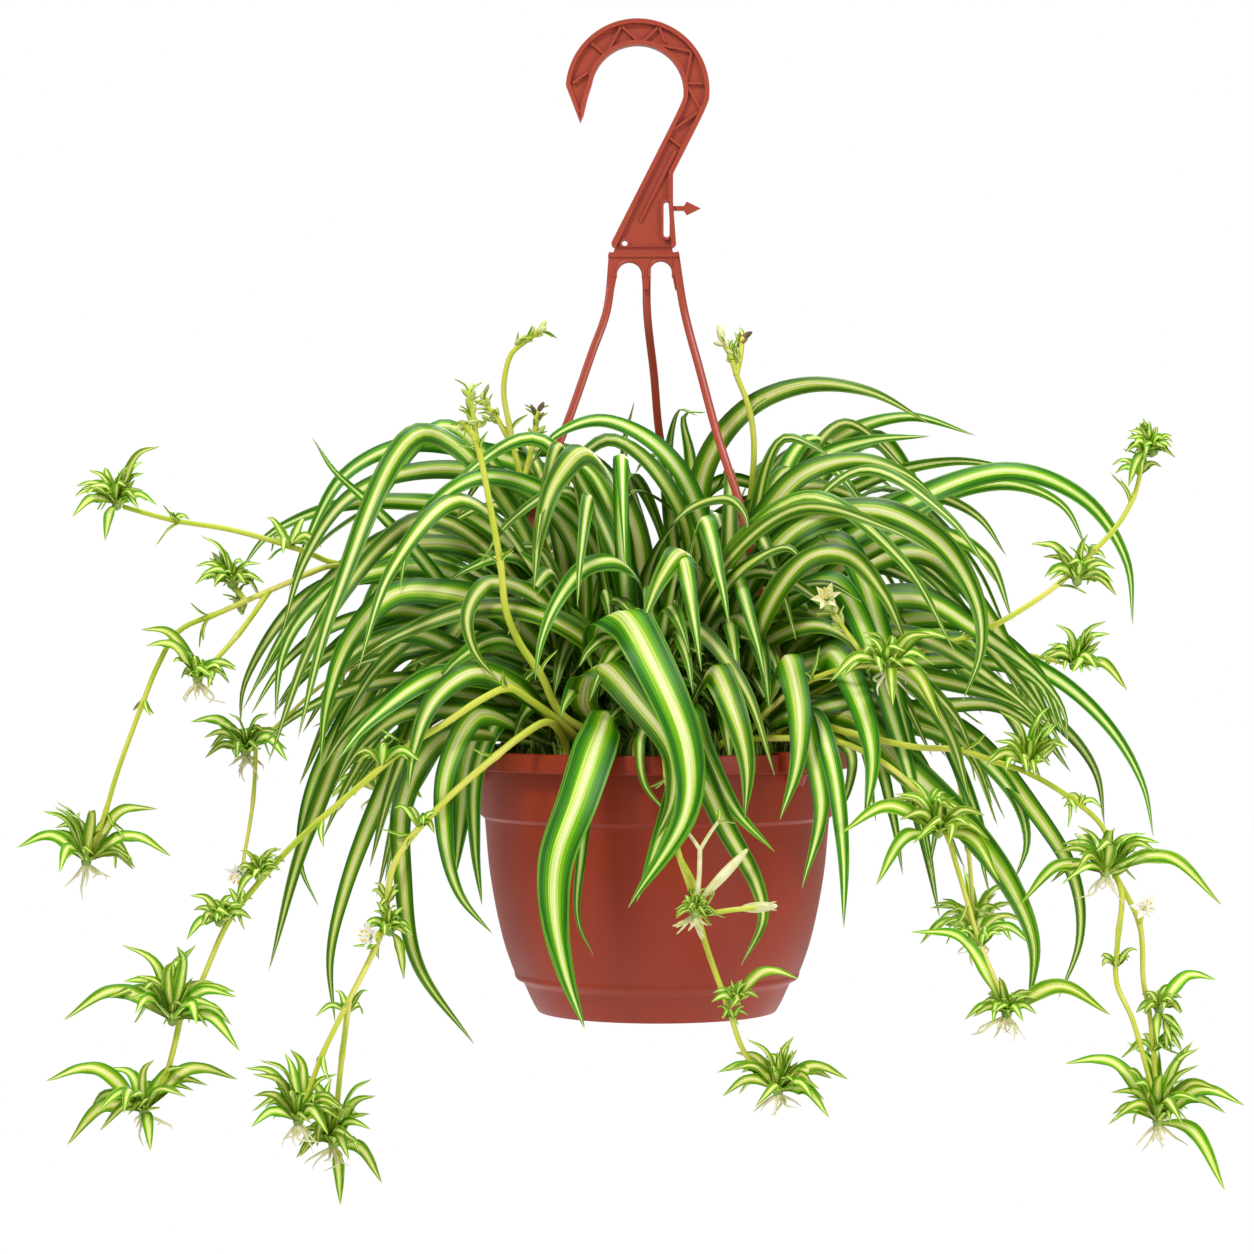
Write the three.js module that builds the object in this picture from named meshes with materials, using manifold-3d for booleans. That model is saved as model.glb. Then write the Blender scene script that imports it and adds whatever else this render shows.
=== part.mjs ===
// A variegated spider plant in a hanging pot of brick-red plastic.
// Millimetres, +Z up. The model is laid out with the pot's axis at X = Y = 0 and its base
// at Z = 0, and the whole group is then moved so that the hook's bearing point is the origin.

import * as THREE from 'three';
import { mergeVertices } from 'three/addons/utils/BufferGeometryUtils.js';
import Module from 'manifold-3d';

const wasm = await Module();
wasm.setup();

// ---------------------------------------------------------------- driving dimensions

// Pot: outer radius and height at each step of its wall.
const POT = {
  segments: 32,
  wall: 2,
  floor: 2.5,
  baseRadius: 66,
  height: 147,
  flangeRadius: 110,
  flangeDrop: 10,
  mouthRadius: 99.3,
  outer: [[66, 0], [74.6, 13], [79, 18.6], [86.4, 40.6], [93.4, 75.3], [96.6, 108], [98.9, 110],
    [101.3, 132.7]],
  drainHoles: 4,
  drainRadius: 4,
  drainCircle: 38,
};

// Lugs in the pot's flange that the hanger's strands clip into.
const LUG = { azimuths: [196, 76, -44], radius: 106.5, outer: 113.5, halfWidth: 18.5, bore: 3.6, rise: 1.3 };

// Potting soil: its surface, and the plain holes that the crowns and stems stand in.
const SOIL = { top: 138, dome: 3, clearance: 0.4, holeDepth: 16, stemClearance: 1, wallSteps: [0, 1, 3] };

// Crowns: tufts of leaves in a ring round the pot's axis.
const CROWN = { count: 7, firstAzimuth: 12, ring: 50, radius: 11, sides: 8, rise: 16, clearance: 0.6 };

// Hanger: a flat hook with flanges and ribs, a yoke, and three strands.
const HOOK = { x: -10.9, z: 515.2, outer: 40.3, inner: 25.8, depth: 8, flange: 2, web: 2.4, rib: 1.6 };
const YOKE = { left: -27.6, right: 11.8, bottom: 419, top: 426, depth: 7 };
const STRAND = { radius: 2.2, sides: 6, steps: 11, headTop: 4.3, headTip: 2, headLength: 7, seatGap: 0.3 };

// The hook hangs on the highest point of its inner arc.
const BEARING = { x: HOOK.x, z: HOOK.z + HOOK.inner };

// Gap kept between any two pieces, gap under what stands in a hole, and how far the joined
// solids may be evened out.
const GAP = 0.45;
const SEAT = 0.3;
const EVEN = 0.18;

// Routes of leaves and stems are read off the front view: across and down in its pixels,
// and depth in millimetres behind the pot's axis. The eye is level, 2 m in front of the axis.
const VIEW = { distance: 2000, mmPerPixel: 0.5612, across: 627, down: 600, eyeX: -16.8, eyeZ: 230.1 };

// Stems: sides, length of a step, radius at the end as a share of that at the start, and radius
// of a branch as a share of its stem's. The first corner of a stem points along the normal.
const STEM = { sides: 4, step: 34, taper: 0.62, branch: 0.75, holeSides: 6, normal: [0.6, 0.8, 0] };

const COLOURS = {
  plastic: { color: 0x9a3f2e, roughness: 0.42, metalness: 0 },
  soil: { color: 0x3a2a1e, roughness: 0.95, metalness: 0 },
  leaf: { color: 0x5f9a35, roughness: 0.45, metalness: 0 },
  plantlet: { color: 0x86b548, roughness: 0.5, metalness: 0 },
  stem: { color: 0xc9cf72, roughness: 0.5, metalness: 0 },
  flower: { color: 0xf6f4ea, roughness: 0.6, metalness: 0 },
};

// ---------------------------------------------------------------- solids

const radians = THREE.MathUtils.degToRad;

function spot([across, down, depth]) {
  const scale = VIEW.mmPerPixel * (VIEW.distance + depth) / VIEW.distance;
  const x = VIEW.eyeX + (across - VIEW.across) * scale;
  return new THREE.Vector3(x, depth, VIEW.eyeZ + (VIEW.down - down) * scale);
}

function polar(radius, azimuth, z) {
  const angle = radians(azimuth);
  return new THREE.Vector3(radius * Math.cos(angle), radius * Math.sin(angle), z);
}

function solid(geometry) {
  const bare = geometry.clone();
  bare.deleteAttribute('normal');
  bare.deleteAttribute('uv');
  const merged = mergeVertices(bare, 1e-4);
  return new wasm.Manifold(new wasm.Mesh({
    numProp: 3,
    vertProperties: new Float32Array(merged.attributes.position.array),
    triVerts: new Uint32Array(merged.index.array),
  }));
}

// A closed solid of rings of points, each ring with the same number, ending in a cap or a tip.
function skin(rings, tip) {
  const sides = rings[0].length;
  const points = rings.flat();
  const faces = [];
  for (let ring = 0; ring + 1 < rings.length; ring += 1) {
    for (let side = 0; side < sides; side += 1) {
      const a = ring * sides + side;
      const b = ring * sides + (side + 1) % sides;
      faces.push(a, b, b + sides, a, b + sides, a + sides);
    }
  }
  const last = (rings.length - 1) * sides;
  for (let side = 1; side + 1 < sides; side += 1) {
    faces.push(0, side + 1, side);
    if (!tip) faces.push(last, last + side, last + side + 1);
  }
  if (tip) {
    points.push(tip);
    for (let side = 0; side < sides; side += 1) {
      faces.push(last + side, last + (side + 1) % sides, points.length - 1);
    }
  }
  const body = (order) => new wasm.Manifold(new wasm.Mesh({
    numProp: 3,
    vertProperties: new Float32Array(points.flatMap((point) => point.toArray())),
    triVerts: new Uint32Array(order),
  }));
  const outward = body(faces);
  return outward.volume() > 0 ? outward : body(faces.reverse());
}

function join(solids) {
  return wasm.Manifold.union(solids);
}

function largest(body) {
  const bodies = body.decompose();
  return bodies.reduce((best, next) => (next.volume() > best.volume() ? next : best));
}

function lathe(profile, segments) {
  const turned = new THREE.LatheGeometry(profile.map(([r, z]) => new THREE.Vector2(r, z)), segments);
  return solid(turned.rotateX(Math.PI / 2));
}

function cylinder(radius, low, high, x, y, sides) {
  const geometry = new THREE.CylinderGeometry(radius, radius, high - low, sides);
  return solid(geometry.rotateX(Math.PI / 2).translate(x, y, (low + high) / 2));
}

function box(low, high) {
  const size = high.map((value, axis) => value - low[axis]);
  const middle = high.map((value, axis) => (value + low[axis]) / 2);
  return solid(new THREE.BoxGeometry(...size).translate(...middle));
}

// A flat shape in the XZ plane, extruded along Y about Y = 0.
function plate(shape, depth) {
  const geometry = new THREE.ExtrudeGeometry(shape, { depth, bevelEnabled: false, curveSegments: 18 });
  return solid(geometry.rotateX(Math.PI / 2).translate(0, depth / 2, 0));
}

// ---------------------------------------------------------------- pot and soil

function inside(offset) {
  return POT.outer.slice(2).map(([r, z]) => [r - POT.wall - offset, z + offset]);
}

function makePot() {
  const { outer, flangeRadius, flangeDrop, height, wall, floor, mouthRadius } = POT;
  const lip = height - flangeDrop;
  const profile = [[0, 0], ...outer,
    [outer.at(-1)[0], height - wall], [flangeRadius - wall, height - wall], [flangeRadius - wall, lip],
    [flangeRadius, lip], [flangeRadius, height], [mouthRadius, height],
    ...inside(0).reverse(), [outer[0][0] - wall, floor], [0, floor]];
  let pot = lathe(profile, POT.segments);
  for (const azimuth of LUG.azimuths) {
    const lug = box([LUG.radius - 4.6, -LUG.halfWidth, lip], [LUG.outer, LUG.halfWidth, height + LUG.rise]);
    pot = pot.add(lug.rotate([0, 0, azimuth]));
  }
  for (const azimuth of LUG.azimuths) {
    const bore = polar(LUG.radius, azimuth, 0);
    pot = pot.subtract(cylinder(LUG.bore, lip - 1, height + LUG.rise + 1, bore.x, bore.y, 8));
  }
  for (let hole = 0; hole < POT.drainHoles; hole += 1) {
    const at = polar(POT.drainCircle, hole * 360 / POT.drainHoles, 0);
    pot = pot.subtract(cylinder(POT.drainRadius, -1, floor + 1, at.x, at.y, 6));
  }
  return pot;
}

function makeSoil(holes) {
  const gap = SOIL.clearance;
  const wallRadius = POT.mouthRadius - gap;
  const profile = [[0, POT.floor + gap], [POT.baseRadius - POT.wall - gap, POT.floor + gap],
    ...SOIL.wallSteps.map((step) => inside(gap)[step]), [wallRadius, SOIL.top], [0, SOIL.top + SOIL.dome]];
  let soil = lathe(profile, POT.segments);
  for (const { x, y, radius, sides } of holes) {
    soil = soil.subtract(cylinder(radius, SOIL.top - SOIL.holeDepth, SOIL.top + 9, x, y, sides));
  }
  return soil;
}

// ---------------------------------------------------------------- hanger

function inset(points, distance) {
  const count = points.length;
  const area = THREE.ShapeUtils.area(points);
  const turn = area > 0 ? 1 : -1;
  return points.map((point, index) => {
    const before = point.clone().sub(points[(index + count - 1) % count]).normalize();
    const after = points[(index + 1) % count].clone().sub(point).normalize();
    const normal = new THREE.Vector2(-before.y - after.y, before.x + after.x).normalize();
    const reach = distance / Math.max(0.5, normal.dot(new THREE.Vector2(-before.y, before.x)));
    return point.clone().addScaledVector(normal, reach * turn);
  });
}

function strut(from, to, thickness, depth) {
  const middle = [(from[0] + to[0]) / 2, (from[1] + to[1]) / 2];
  const length = Math.hypot(to[0] - from[0], to[1] - from[1]);
  const geometry = new THREE.BoxGeometry(length, depth, thickness);
  geometry.rotateY(-Math.atan2(to[1] - from[1], to[0] - from[0]));
  return solid(geometry.translate(middle[0], 0, middle[1]));
}

// The hook's outline, anticlockwise from its point, relative to the centre of its ring.
function hookOutline() {
  const shape = new THREE.Shape();
  shape.moveTo(-32.3, -17.4);
  shape.lineTo(-29.5, -6.7);
  shape.absarc(0, 0, HOOK.inner, radians(176), radians(-18), true);
  shape.quadraticCurveTo(20, -18, 11.5, -30.3);
  shape.lineTo(-4.8, -63.4);
  shape.lineTo(-15.4, -84.2);
  shape.lineTo(-16.7, -89.5);
  shape.lineTo(22.4, -89.5);
  shape.lineTo(21.6, -85.9);
  shape.lineTo(19.9, -62.3);
  shape.lineTo(19.9, -46);
  shape.absarc(0, 0, HOOK.outer, radians(-48), radians(175), false);
  shape.closePath();
  return shape.getPoints(8).slice(0, -1);
}

function hookRibs() {
  const ribs = [];
  const from = 168;
  const step = 23;
  const count = 9;
  for (let rib = 0; rib < count; rib += 1) {
    const radii = rib % 2 ? [HOOK.outer - 1, HOOK.inner + 1] : [HOOK.inner + 1, HOOK.outer - 1];
    const ends = radii.map((radius, end) => {
      const angle = radians(from - step * (rib + end));
      return [radius * Math.cos(angle), radius * Math.sin(angle)];
    });
    ribs.push(strut(ends[0], ends[1], HOOK.rib, HOOK.depth - 1));
  }
  ribs.push(strut([22, -34], [1.4, -73], HOOK.rib + 0.6, HOOK.depth - 1));
  return ribs;
}

function strandRoute(index) {
  const foot = polar(LUG.radius, LUG.azimuths[index], 0);
  const routes = [
    [[613, 262, 0], [607, 310, -2], [592, 353, -6], [570, 416, -12], [546, 477, -17], [533, 516, -20],
      [517, 589, -24], [499, 668, -28]],
    [[647, 262, 0], [647, 310, 4], [654, 375, 24], [659, 431, 42], [668, 479, 58], [680, 560, 78],
      [692, 650, 95]],
    [[675, 262, 0], [684, 310, -5], [700, 371, -17], [717, 434, -30], [728, 468, -38], [739, 501, -45],
      [750, 550, -54], [771, 640, -66]],
  ];
  const points = routes[index].map(spot);
  points[0].z += 5;
  for (const z of [POT.height + 18, POT.height + 8, POT.height - POT.flangeDrop - 4]) {
    points.push(new THREE.Vector3(foot.x, foot.y, z));
  }
  return points;
}

function strandHead(index) {
  const foot = polar(LUG.radius, LUG.azimuths[index], 0);
  const top = POT.height - POT.flangeDrop - STRAND.seatGap;
  const geometry = new THREE.CylinderGeometry(STRAND.headTop, STRAND.headTip, STRAND.headLength, 6);
  geometry.rotateX(Math.PI / 2).translate(foot.x, foot.y, top - STRAND.headLength / 2);
  return solid(geometry);
}

// A small arrow-shaped peg beside the hook's slot, for a plant label.
function labelPeg() {
  const shape = new THREE.Shape();
  const [root, neck, point, middle] = [18.5, 27, 35.3, -65.6];
  shape.moveTo(root, middle - 1.3);
  shape.lineTo(neck, middle - 1.3);
  shape.lineTo(neck, middle - 3.4);
  shape.lineTo(point, middle);
  shape.lineTo(neck, middle + 3.4);
  shape.lineTo(neck, middle + 1.3);
  shape.lineTo(root, middle + 1.3);
  shape.closePath();
  return plate(shape, 2.4);
}

function makeHanger() {
  const outline = hookOutline();
  const web = new THREE.Shape(outline);
  const flange = new THREE.Shape(outline);
  flange.holes.push(new THREE.Path(inset(outline, HOOK.flange)));
  const slot = box([14.6, -HOOK.depth, -82], [18, HOOK.depth, -62]);
  const pin = solid(new THREE.CylinderGeometry(1.6, 1.6, 3 * HOOK.depth, 8).translate(-7.2, 0, -85.2));
  const hook = join([plate(web, HOOK.web), plate(flange, HOOK.depth), labelPeg(), ...hookRibs()])
    .subtract(slot).subtract(pin)
    .translate([HOOK.x, 0, HOOK.z]);
  const yoke = box([YOKE.left, -YOKE.depth / 2, YOKE.bottom], [YOKE.right, YOKE.depth / 2, YOKE.top]);
  const strands = LUG.azimuths.map((_, index) => (
    join([tube(strandRoute(index), [STRAND.radius, STRAND.radius], STRAND), strandHead(index)])
  ));
  return join([hook, yoke, ...strands]);
}

// ---------------------------------------------------------------- stems

// A stem of few sides along a smooth curve, with a radius at each end. It runs straight for the
// length of its foot.
function tube(points, [startRadius, endRadius], { sides, steps, foot = 0 }) {
  const curve = new THREE.CatmullRomCurve3(points);
  const length = curve.getLength();
  const count = steps ?? Math.max(2, Math.round((length - foot) / STEM.step));
  const footShare = foot / length;
  const stations = Array.from({ length: count + 1 }, (_, step) => (
    Math.min(1, footShare + (1 - footShare) * step / count)
  ));
  if (foot > 0) stations.unshift(0);
  let normal = new THREE.Vector3(...STEM.normal);
  const rings = stations.map((along) => {
    const tangent = curve.getTangentAt(along);
    normal = normal.clone().addScaledVector(tangent, -normal.dot(tangent)).normalize();
    const across = tangent.clone().cross(normal);
    const radius = THREE.MathUtils.lerp(startRadius, endRadius, along);
    const centre = curve.getPointAt(along);
    return Array.from({ length: sides }, (_, side) => {
      const angle = 2 * Math.PI * side / sides;
      return centre.clone()
        .addScaledVector(normal, radius * Math.cos(angle))
        .addScaledVector(across, radius * Math.sin(angle));
    });
  });
  return skin(rings);
}

// Each runner or stalk: the place of its foot in the soil, its routes from there, and its radius.
// A route after the first starts on an earlier one. The last number is the number of root tips
// at the end of each route.
const STEMS = {
  runner_left_high: {
    foot: [-66, -8],
    routes: [
      [[470, 640, -20], [400, 575, -34], [363, 567, -40], [331, 562, -45], [301, 550, -50], [232, 530, -56],
        [172, 520, -60], [124, 507, -62]],
      [[366, 567, -40], [331, 566, -46], [285, 584, -56], [221, 612, -64], [179, 631, -70], [159, 663, -74],
        [143, 702, -76], [117, 773, -78], [102, 822, -80], [88, 852, -80]],
      [[270, 590, -58], [244, 627, -70], [222, 653, -76], [203, 672, -80]],
      [[245, 600, -60], [236, 588, -56]],
    ],
    radius: 2.1,
  },
  runner_left_mid: {
    foot: [-72, 18],
    routes: [
      [[480, 700, 10], [400, 655, 0], [330, 680, -20], [283, 720, -30], [255, 745, -34]],
      [[256, 742, -34], [253, 800, -36], [242, 868, -38]],
    ],
    radius: 1.6,
  },
  runner_left_long: {
    foot: [-42, -64],
    routes: [
      [[575, 736, -72], [551, 715, -84], [530, 700, -92], [509, 688, -100], [482, 699, -108], [447, 722, -114],
        [407, 747, -118], [350, 794, -122], [293, 845, -124], [250, 893, -125], [228, 922, -125],
        [196, 993, -126], [179, 1022, -126]],
      [[180, 1018, -126], [173, 1050, -128], [165, 1076, -130], [146, 1104, -132]],
    ],
    radius: 2.2,
  },
  runner_left_front: {
    foot: [-50, -70],
    routes: [
      [[548, 722, -90], [524, 734, -100], [496, 756, -108], [440, 806, -116], [395, 862, -122], [382, 930, -128],
        [344, 1010, -134], [323, 1053, -136], [301, 1112, -138]],
      [[349, 1000, -133], [341, 1063, -122], [334, 1135, -112]],
      [[381, 932, -128], [374, 938, -137]],
    ],
    radius: 2.2,
  },
  runner_front: {
    foot: [-12, -82],
    routes: [
      [[650, 722, -98], [662, 742, -116], [669, 792, -124], [676, 844, -127], [694, 899, -131], [705, 942, -134],
        [727, 1004, -138], [747, 1057, -141], [775, 1082, -143]],
      [[680, 858, -128], [702, 900, -142], [703, 912, -144], [732, 910, -146], [764, 907, -147]],
    ],
    radius: 2.1,
  },
  runner_right_high: {
    foot: [64, -34],
    routes: [
      [[800, 705, -44], [860, 672, -60], [925, 650, -72], [979, 633, -78], [1045, 594, -78], [1075, 569, -76],
        [1119, 523, -72], [1137, 487, -70], [1142, 452, -68], [1142, 424, -67]],
    ],
    radius: 2,
  },
  runner_right_flower: {
    foot: [46, -62],
    routes: [
      [[780, 700, -84], [830, 672, -104], [876, 664, -118]],
      [[870, 665, -116], [858, 648, -122], [843, 627, -124], [828, 604, -126]],
    ],
    radius: 1.8,
  },
  runner_right_low: {
    foot: [58, -58],
    routes: [
      [[796, 722, -58], [850, 733, -90], [915, 747, -100], [958, 750, -102], [999, 763, -104], [1026, 772, -105],
        [1069, 797, -106], [1104, 829, -106], [1115, 878, -106]],
      [[1114, 872, -106], [1122, 893, -110], [1118, 942, -112], [1117, 983, -112], [1133, 1020, -111],
        [1158, 1112, -110]],
      [[1115, 874, -106], [1140, 925, -98], [1144, 983, -96], [1150, 1014, -97], [1157, 1090, -106]],
      [[1140, 924, -98], [1143, 910, -110]],
    ],
    radius: 2.1,
  },
  runner_right_mid: {
    foot: [32, -78],
    routes: [
      [[790, 738, -92], [840, 742, -104], [900, 775, -110], [945, 832, -112], [958, 870, -112], [980, 942, -112],
        [1006, 1004, -112]],
    ],
    radius: 1.9,
  },
  runner_right_back: {
    foot: [70, 22],
    routes: [[[870, 655, 34], [960, 640, 36], [1020, 652, 30], [1066, 664, 22]]],
    radius: 1.8,
  },
  runner_back_left: {
    foot: [-44, 66],
    routes: [[[470, 600, 110], [420, 620, 150], [385, 690, 178], [378, 745, 186], [378, 785, 188]]],
    radius: 2.1,
  },
  runner_back: {
    foot: [14, 82],
    routes: [
      [[640, 640, 130], [644, 700, 160], [650, 760, 176], [652, 820, 181], [652, 880, 182]],
    ],
    radius: 2.1,
  },
  runner_back_right: {
    foot: [56, 62],
    routes: [[[800, 620, 110], [880, 610, 150], [940, 700, 175], [965, 820, 184], [975, 930, 186]]],
    radius: 2.1,
  },
  stalk_left: {
    foot: [-24, -66],
    routes: [
      [[562, 715, -76], [541, 675, -84], [519, 642, -90], [506, 610, -94], [501, 567, -95], [492, 516, -95],
        [483, 468, -94], [477, 440, -94], [469, 392, -94]],
      [[478, 446, -94], [471, 432, -96], [463, 424, -97]],
    ],
    radius: 2,
  },
  stalk_mid: {
    foot: [-22, 14],
    routes: [
      [[600, 660, 4], [560, 580, -2], [532, 510, -8], [518, 466, -12], [509, 423, -14], [504, 397, -15],
        [505, 375, -16], [512, 353, -17], [525, 342, -18], [540, 331, -18]],
      [[516, 452, -13], [507, 436, -12], [496, 416, -11], [483, 401, -10]],
      [[524, 480, -11], [532, 448, -10], [538, 412, -9]],
    ],
    radius: 1.8,
  },
  stalk_right: {
    foot: [24, 16],
    routes: [
      [[728, 640, 14], [745, 540, 8], [752, 483, 4], [754, 449, 2], [752, 423, 1], [746, 399, 0],
        [737, 377, 0], [730, 355, 0], [722, 341, 0]],
      [[736, 376, 0], [741, 352, 3], [742, 338, 5]],
    ],
    radius: 1.9,
  },
};

function stemRoutes(name) {
  const { foot, routes } = STEMS[name];
  return routes.map((route, index) => {
    const points = route.map(spot);
    if (index > 0) return points;
    const low = new THREE.Vector3(foot[0], foot[1], SOIL.top - SOIL.holeDepth + SEAT);
    const middle = new THREE.Vector3(foot[0], foot[1], SOIL.top + SOIL.dome + 1);
    const high = new THREE.Vector3(foot[0], foot[1], SOIL.top + SOIL.dome + 10);
    return [low, middle, high, ...points];
  });
}

function makeStem(name) {
  const { radius } = STEMS[name];
  const tubes = stemRoutes(name).map((points, index) => {
    const radii = [index > 0 ? radius * STEM.branch : radius, radius * STEM.taper];
    const foot = index > 0 ? 0 : SOIL.holeDepth + SOIL.dome;
    return tube(points, radii, { sides: STEM.sides, foot });
  });
  return join(tubes).simplify(EVEN);
}

// ---------------------------------------------------------------- blades

// How wide a blade is along its length, from 0 at its foot to 1 at its tip, as a share of its width.
function taper(along) {
  return Math.min(1, 0.26 + 2.1 * along) * Math.pow(1 - Math.pow(along, 2.4), 0.9);
}

// A blade's section is a V: its edges lie above the curve by a share of its half width, and its
// keel lies below by a depth that grows a little with its width.
const SECTION = { lift: 0.2, keel: 0.7, keelPerWidth: 0.04 };

// A blade along a curve: its face looks up at the foot and leans by tilt towards its side.
function blade(points, width, stations, tilt = 0) {
  const curve = new THREE.CatmullRomCurve3(points);
  const first = points[0];
  const last = points.at(-1);
  const heading = new THREE.Vector3(last.x - first.x, last.y - first.y, 0).normalize();
  const across = new THREE.Vector3(-heading.y, heading.x, 0);
  const rings = stations.map((along) => {
    const centre = curve.getPointAt(along);
    const tangent = curve.getTangentAt(along);
    const face = tangent.clone().cross(across).normalize();
    const side = face.clone().cross(tangent);
    const lean = tilt * Math.min(1, 0.25 + along / 0.6);
    const normal = face.clone().multiplyScalar(Math.cos(lean)).addScaledVector(side, Math.sin(lean));
    const edge = normal.clone().cross(tangent).normalize();
    const half = width / 2 * taper(along);
    const lift = SECTION.lift * half;
    return [
      centre.clone().addScaledVector(edge, half).addScaledVector(normal, lift),
      centre.clone().addScaledVector(edge, -half).addScaledVector(normal, lift),
      centre.clone().addScaledVector(normal, -SECTION.keel - SECTION.keelPerWidth * width),
    ];
  });
  return skin(rings, last);
}

// ---------------------------------------------------------------- room between pieces

const placed = [];

function keep(name, body) {
  placed.push({ name, body, bounds: body.boundingBox() });
}

function clears(name, body) {
  const { min, max } = body.boundingBox();
  return placed.every((other) => {
    if (other.name === name) return true;
    const apart = min.some((value, axis) => (
      value - GAP > other.bounds.max[axis] || max[axis] + GAP < other.bounds.min[axis]
    ));
    return apart || body.minGap(other.body, 2 * GAP) >= GAP;
  });
}

// ---------------------------------------------------------------- plantlets and flowers

// Each plantlet: the place on its stem that it grows from, how far from there its heart sits, the
// length and number of its leaves, the number of its root tips, and any long leaves, by the place
// of their tips.
const PLANTLETS = {
  left_high_end: {
    at: [124, 507, -62], grow: [-3.8, 0, 1.2], length: 27, leaves: 6, roots: 0,
    tips: [[160, 446, -66], [76, 486, -66], [72, 517, -74], [105, 541, -70]],
  },
  left_high_middle: {
    at: [236, 588, -56], grow: [-2, -2.4, 2.4], length: 24, leaves: 6, roots: 0,
    tips: [[216, 545, -60], [262, 600, -44]],
  },
  left_high_low: {
    at: [203, 672, -80], grow: [-2.9, 0, -3.9], length: 24, leaves: 6, roots: 2,
    tips: [[140, 629, -86], [145, 646, -96], [236, 640, -86]],
  },
  left_high_tail: {
    at: [88, 852, -80], grow: [-1.1, 0, -5.3], length: 38, leaves: 7, roots: 3,
    tips: [[16, 848, -90], [172, 857, -84], [158, 809, -80], [97, 770, -86]],
  },
  left_middle: {
    at: [255, 743, -34], grow: [-5.2, 0, -5.2], length: 28, leaves: 7, roots: 3,
    tips: [[190, 722, -40], [316, 760, -44]],
  },
  left_long_upper: {
    at: [270, 869, -124], grow: [-5.4, -5.4, -2.7], length: 16, leaves: 5, roots: 0,
    tips: [[236, 900, -130]],
  },
  left_long_lower: {
    at: [228, 922, -125], grow: [-4.1, -3.5, 0.6], length: 20, leaves: 5, roots: 0,
    tips: [[186, 940, -130]],
  },
  left_long_end: {
    at: [178, 1022, -126], grow: [-2.3, -6.9, 1.5], length: 40, leaves: 7, roots: 0,
    tips: [[62, 1021, -134], [196, 944, -130], [230, 990, -116], [240, 1052, -140]],
  },
  left_long_tail: {
    at: [146, 1104, -132], grow: [-1.3, 0, -4.2], length: 40, leaves: 7, roots: 2,
    tips: [[44, 1082, -138], [66, 1146, -140], [238, 1080, -122], [150, 1152, -148]],
  },
  left_front_upper: {
    at: [382, 930, -128], grow: [4.1, -4.1, 0], length: 18, leaves: 5, roots: 0,
    tips: [[404, 980, -134]],
  },
  left_front_end: {
    at: [301, 1112, -138], grow: [-1.6, 0, -5.2], length: 38, leaves: 8, roots: 2,
    tips: [[244, 1068, -144], [250, 1128, -148], [290, 1052, -128]],
  },
  left_front_tail: {
    at: [334, 1135, -112], grow: [-0.5, 0, -5.4], length: 36, leaves: 7, roots: 2,
    tips: [[382, 1184, -108], [340, 1206, -116], [376, 1096, -104]],
  },
  front_bracts: {
    at: [702, 910, -143], grow: [-3.9, -4.6, -1.3], length: 15, leaves: 7, roots: 0,
    tips: [],
  },
  front_tuft: {
    at: [726, 1000, -138], grow: [4.4, -3.3, 0], length: 14, leaves: 4, roots: 0,
    tips: [[799, 979, -146]],
  },
  front_end: {
    at: [775, 1082, -143], grow: [1.6, 0, -5.2], length: 33, leaves: 8, roots: 2,
    tips: [[849, 1080, -146], [717, 1073, -140], [830, 1119, -152]],
  },
  right_high_middle: {
    at: [1070, 572, -76], grow: [3.2, -4.7, -4.7], length: 24, leaves: 5, roots: 0,
    tips: [[1030, 544, -80], [1117, 596, -84]],
  },
  right_high_end: {
    at: [1142, 452, -68], grow: [4.4, -5.1, 0], length: 18, leaves: 6, roots: 0,
    tips: [[1169, 446, -72], [1128, 487, -76]],
  },
  right_front: {
    at: [877, 664, -118], grow: [5.7, -1.8, -1.8], length: 30, leaves: 7, roots: 2,
    tips: [[830, 682, -134], [955, 640, -124], [941, 722, -136], [893, 706, -142]],
  },
  right_low_upper: {
    at: [1027, 772, -105], grow: [0, -2.3, 3.1], length: 26, leaves: 7, roots: 0,
    tips: [[1050, 706, -112], [985, 766, -116]],
  },
  right_low_end: {
    at: [1115, 876, -106], grow: [-5.9, -5.9, 1.8], length: 40, leaves: 7, roots: 2,
    tips: [[1223, 906, -108], [1020, 905, -110], [1161, 843, -114], [1062, 844, -98]],
  },
  right_low_tuft: {
    at: [1148, 1008, -97], grow: [5.5, -4.1, 0], length: 16, leaves: 4, roots: 0,
    tips: [[1217, 980, -92]],
  },
  right_low_tail: {
    at: [1158, 1112, -110], grow: [0, -0.5, -5.4], length: 40, leaves: 9, roots: 2,
    tips: [[1064, 1064, -118], [1246, 1106, -112], [1226, 1192, -118], [1200, 1048, -102]],
  },
  right_back: {
    at: [1066, 664, 22], grow: [4.5, 0, -0.9], length: 26, leaves: 7, roots: 0,
    tips: [[1128, 691, 16], [1111, 634, 26]],
  },
  right_mid: {
    at: [945, 832, -112], grow: [-4, -5.6, 0], length: 32, leaves: 7, roots: 0,
    tips: [[840, 834, -124], [876, 886, -126], [1000, 882, -120]],
  },
  right_mid_end: {
    at: [1006, 1004, -112], grow: [0.5, 0, -5.4], length: 24, leaves: 7, roots: 3,
    tips: [[910, 932, -120], [1112, 1016, -122]],
  },
  back_left: {
    at: [378, 785, 188], grow: [0, 0, -4.8], length: 40, leaves: 8, roots: 2,
    tips: [],
  },
  back_middle: {
    at: [652, 880, 182], grow: [0, 0, -4.9], length: 38, leaves: 8, roots: 2,
    tips: [],
  },
  back_right: {
    at: [975, 930, 186], grow: [0, 0, -4.8], length: 40, leaves: 8, roots: 2,
    tips: [],
  },
};

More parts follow.
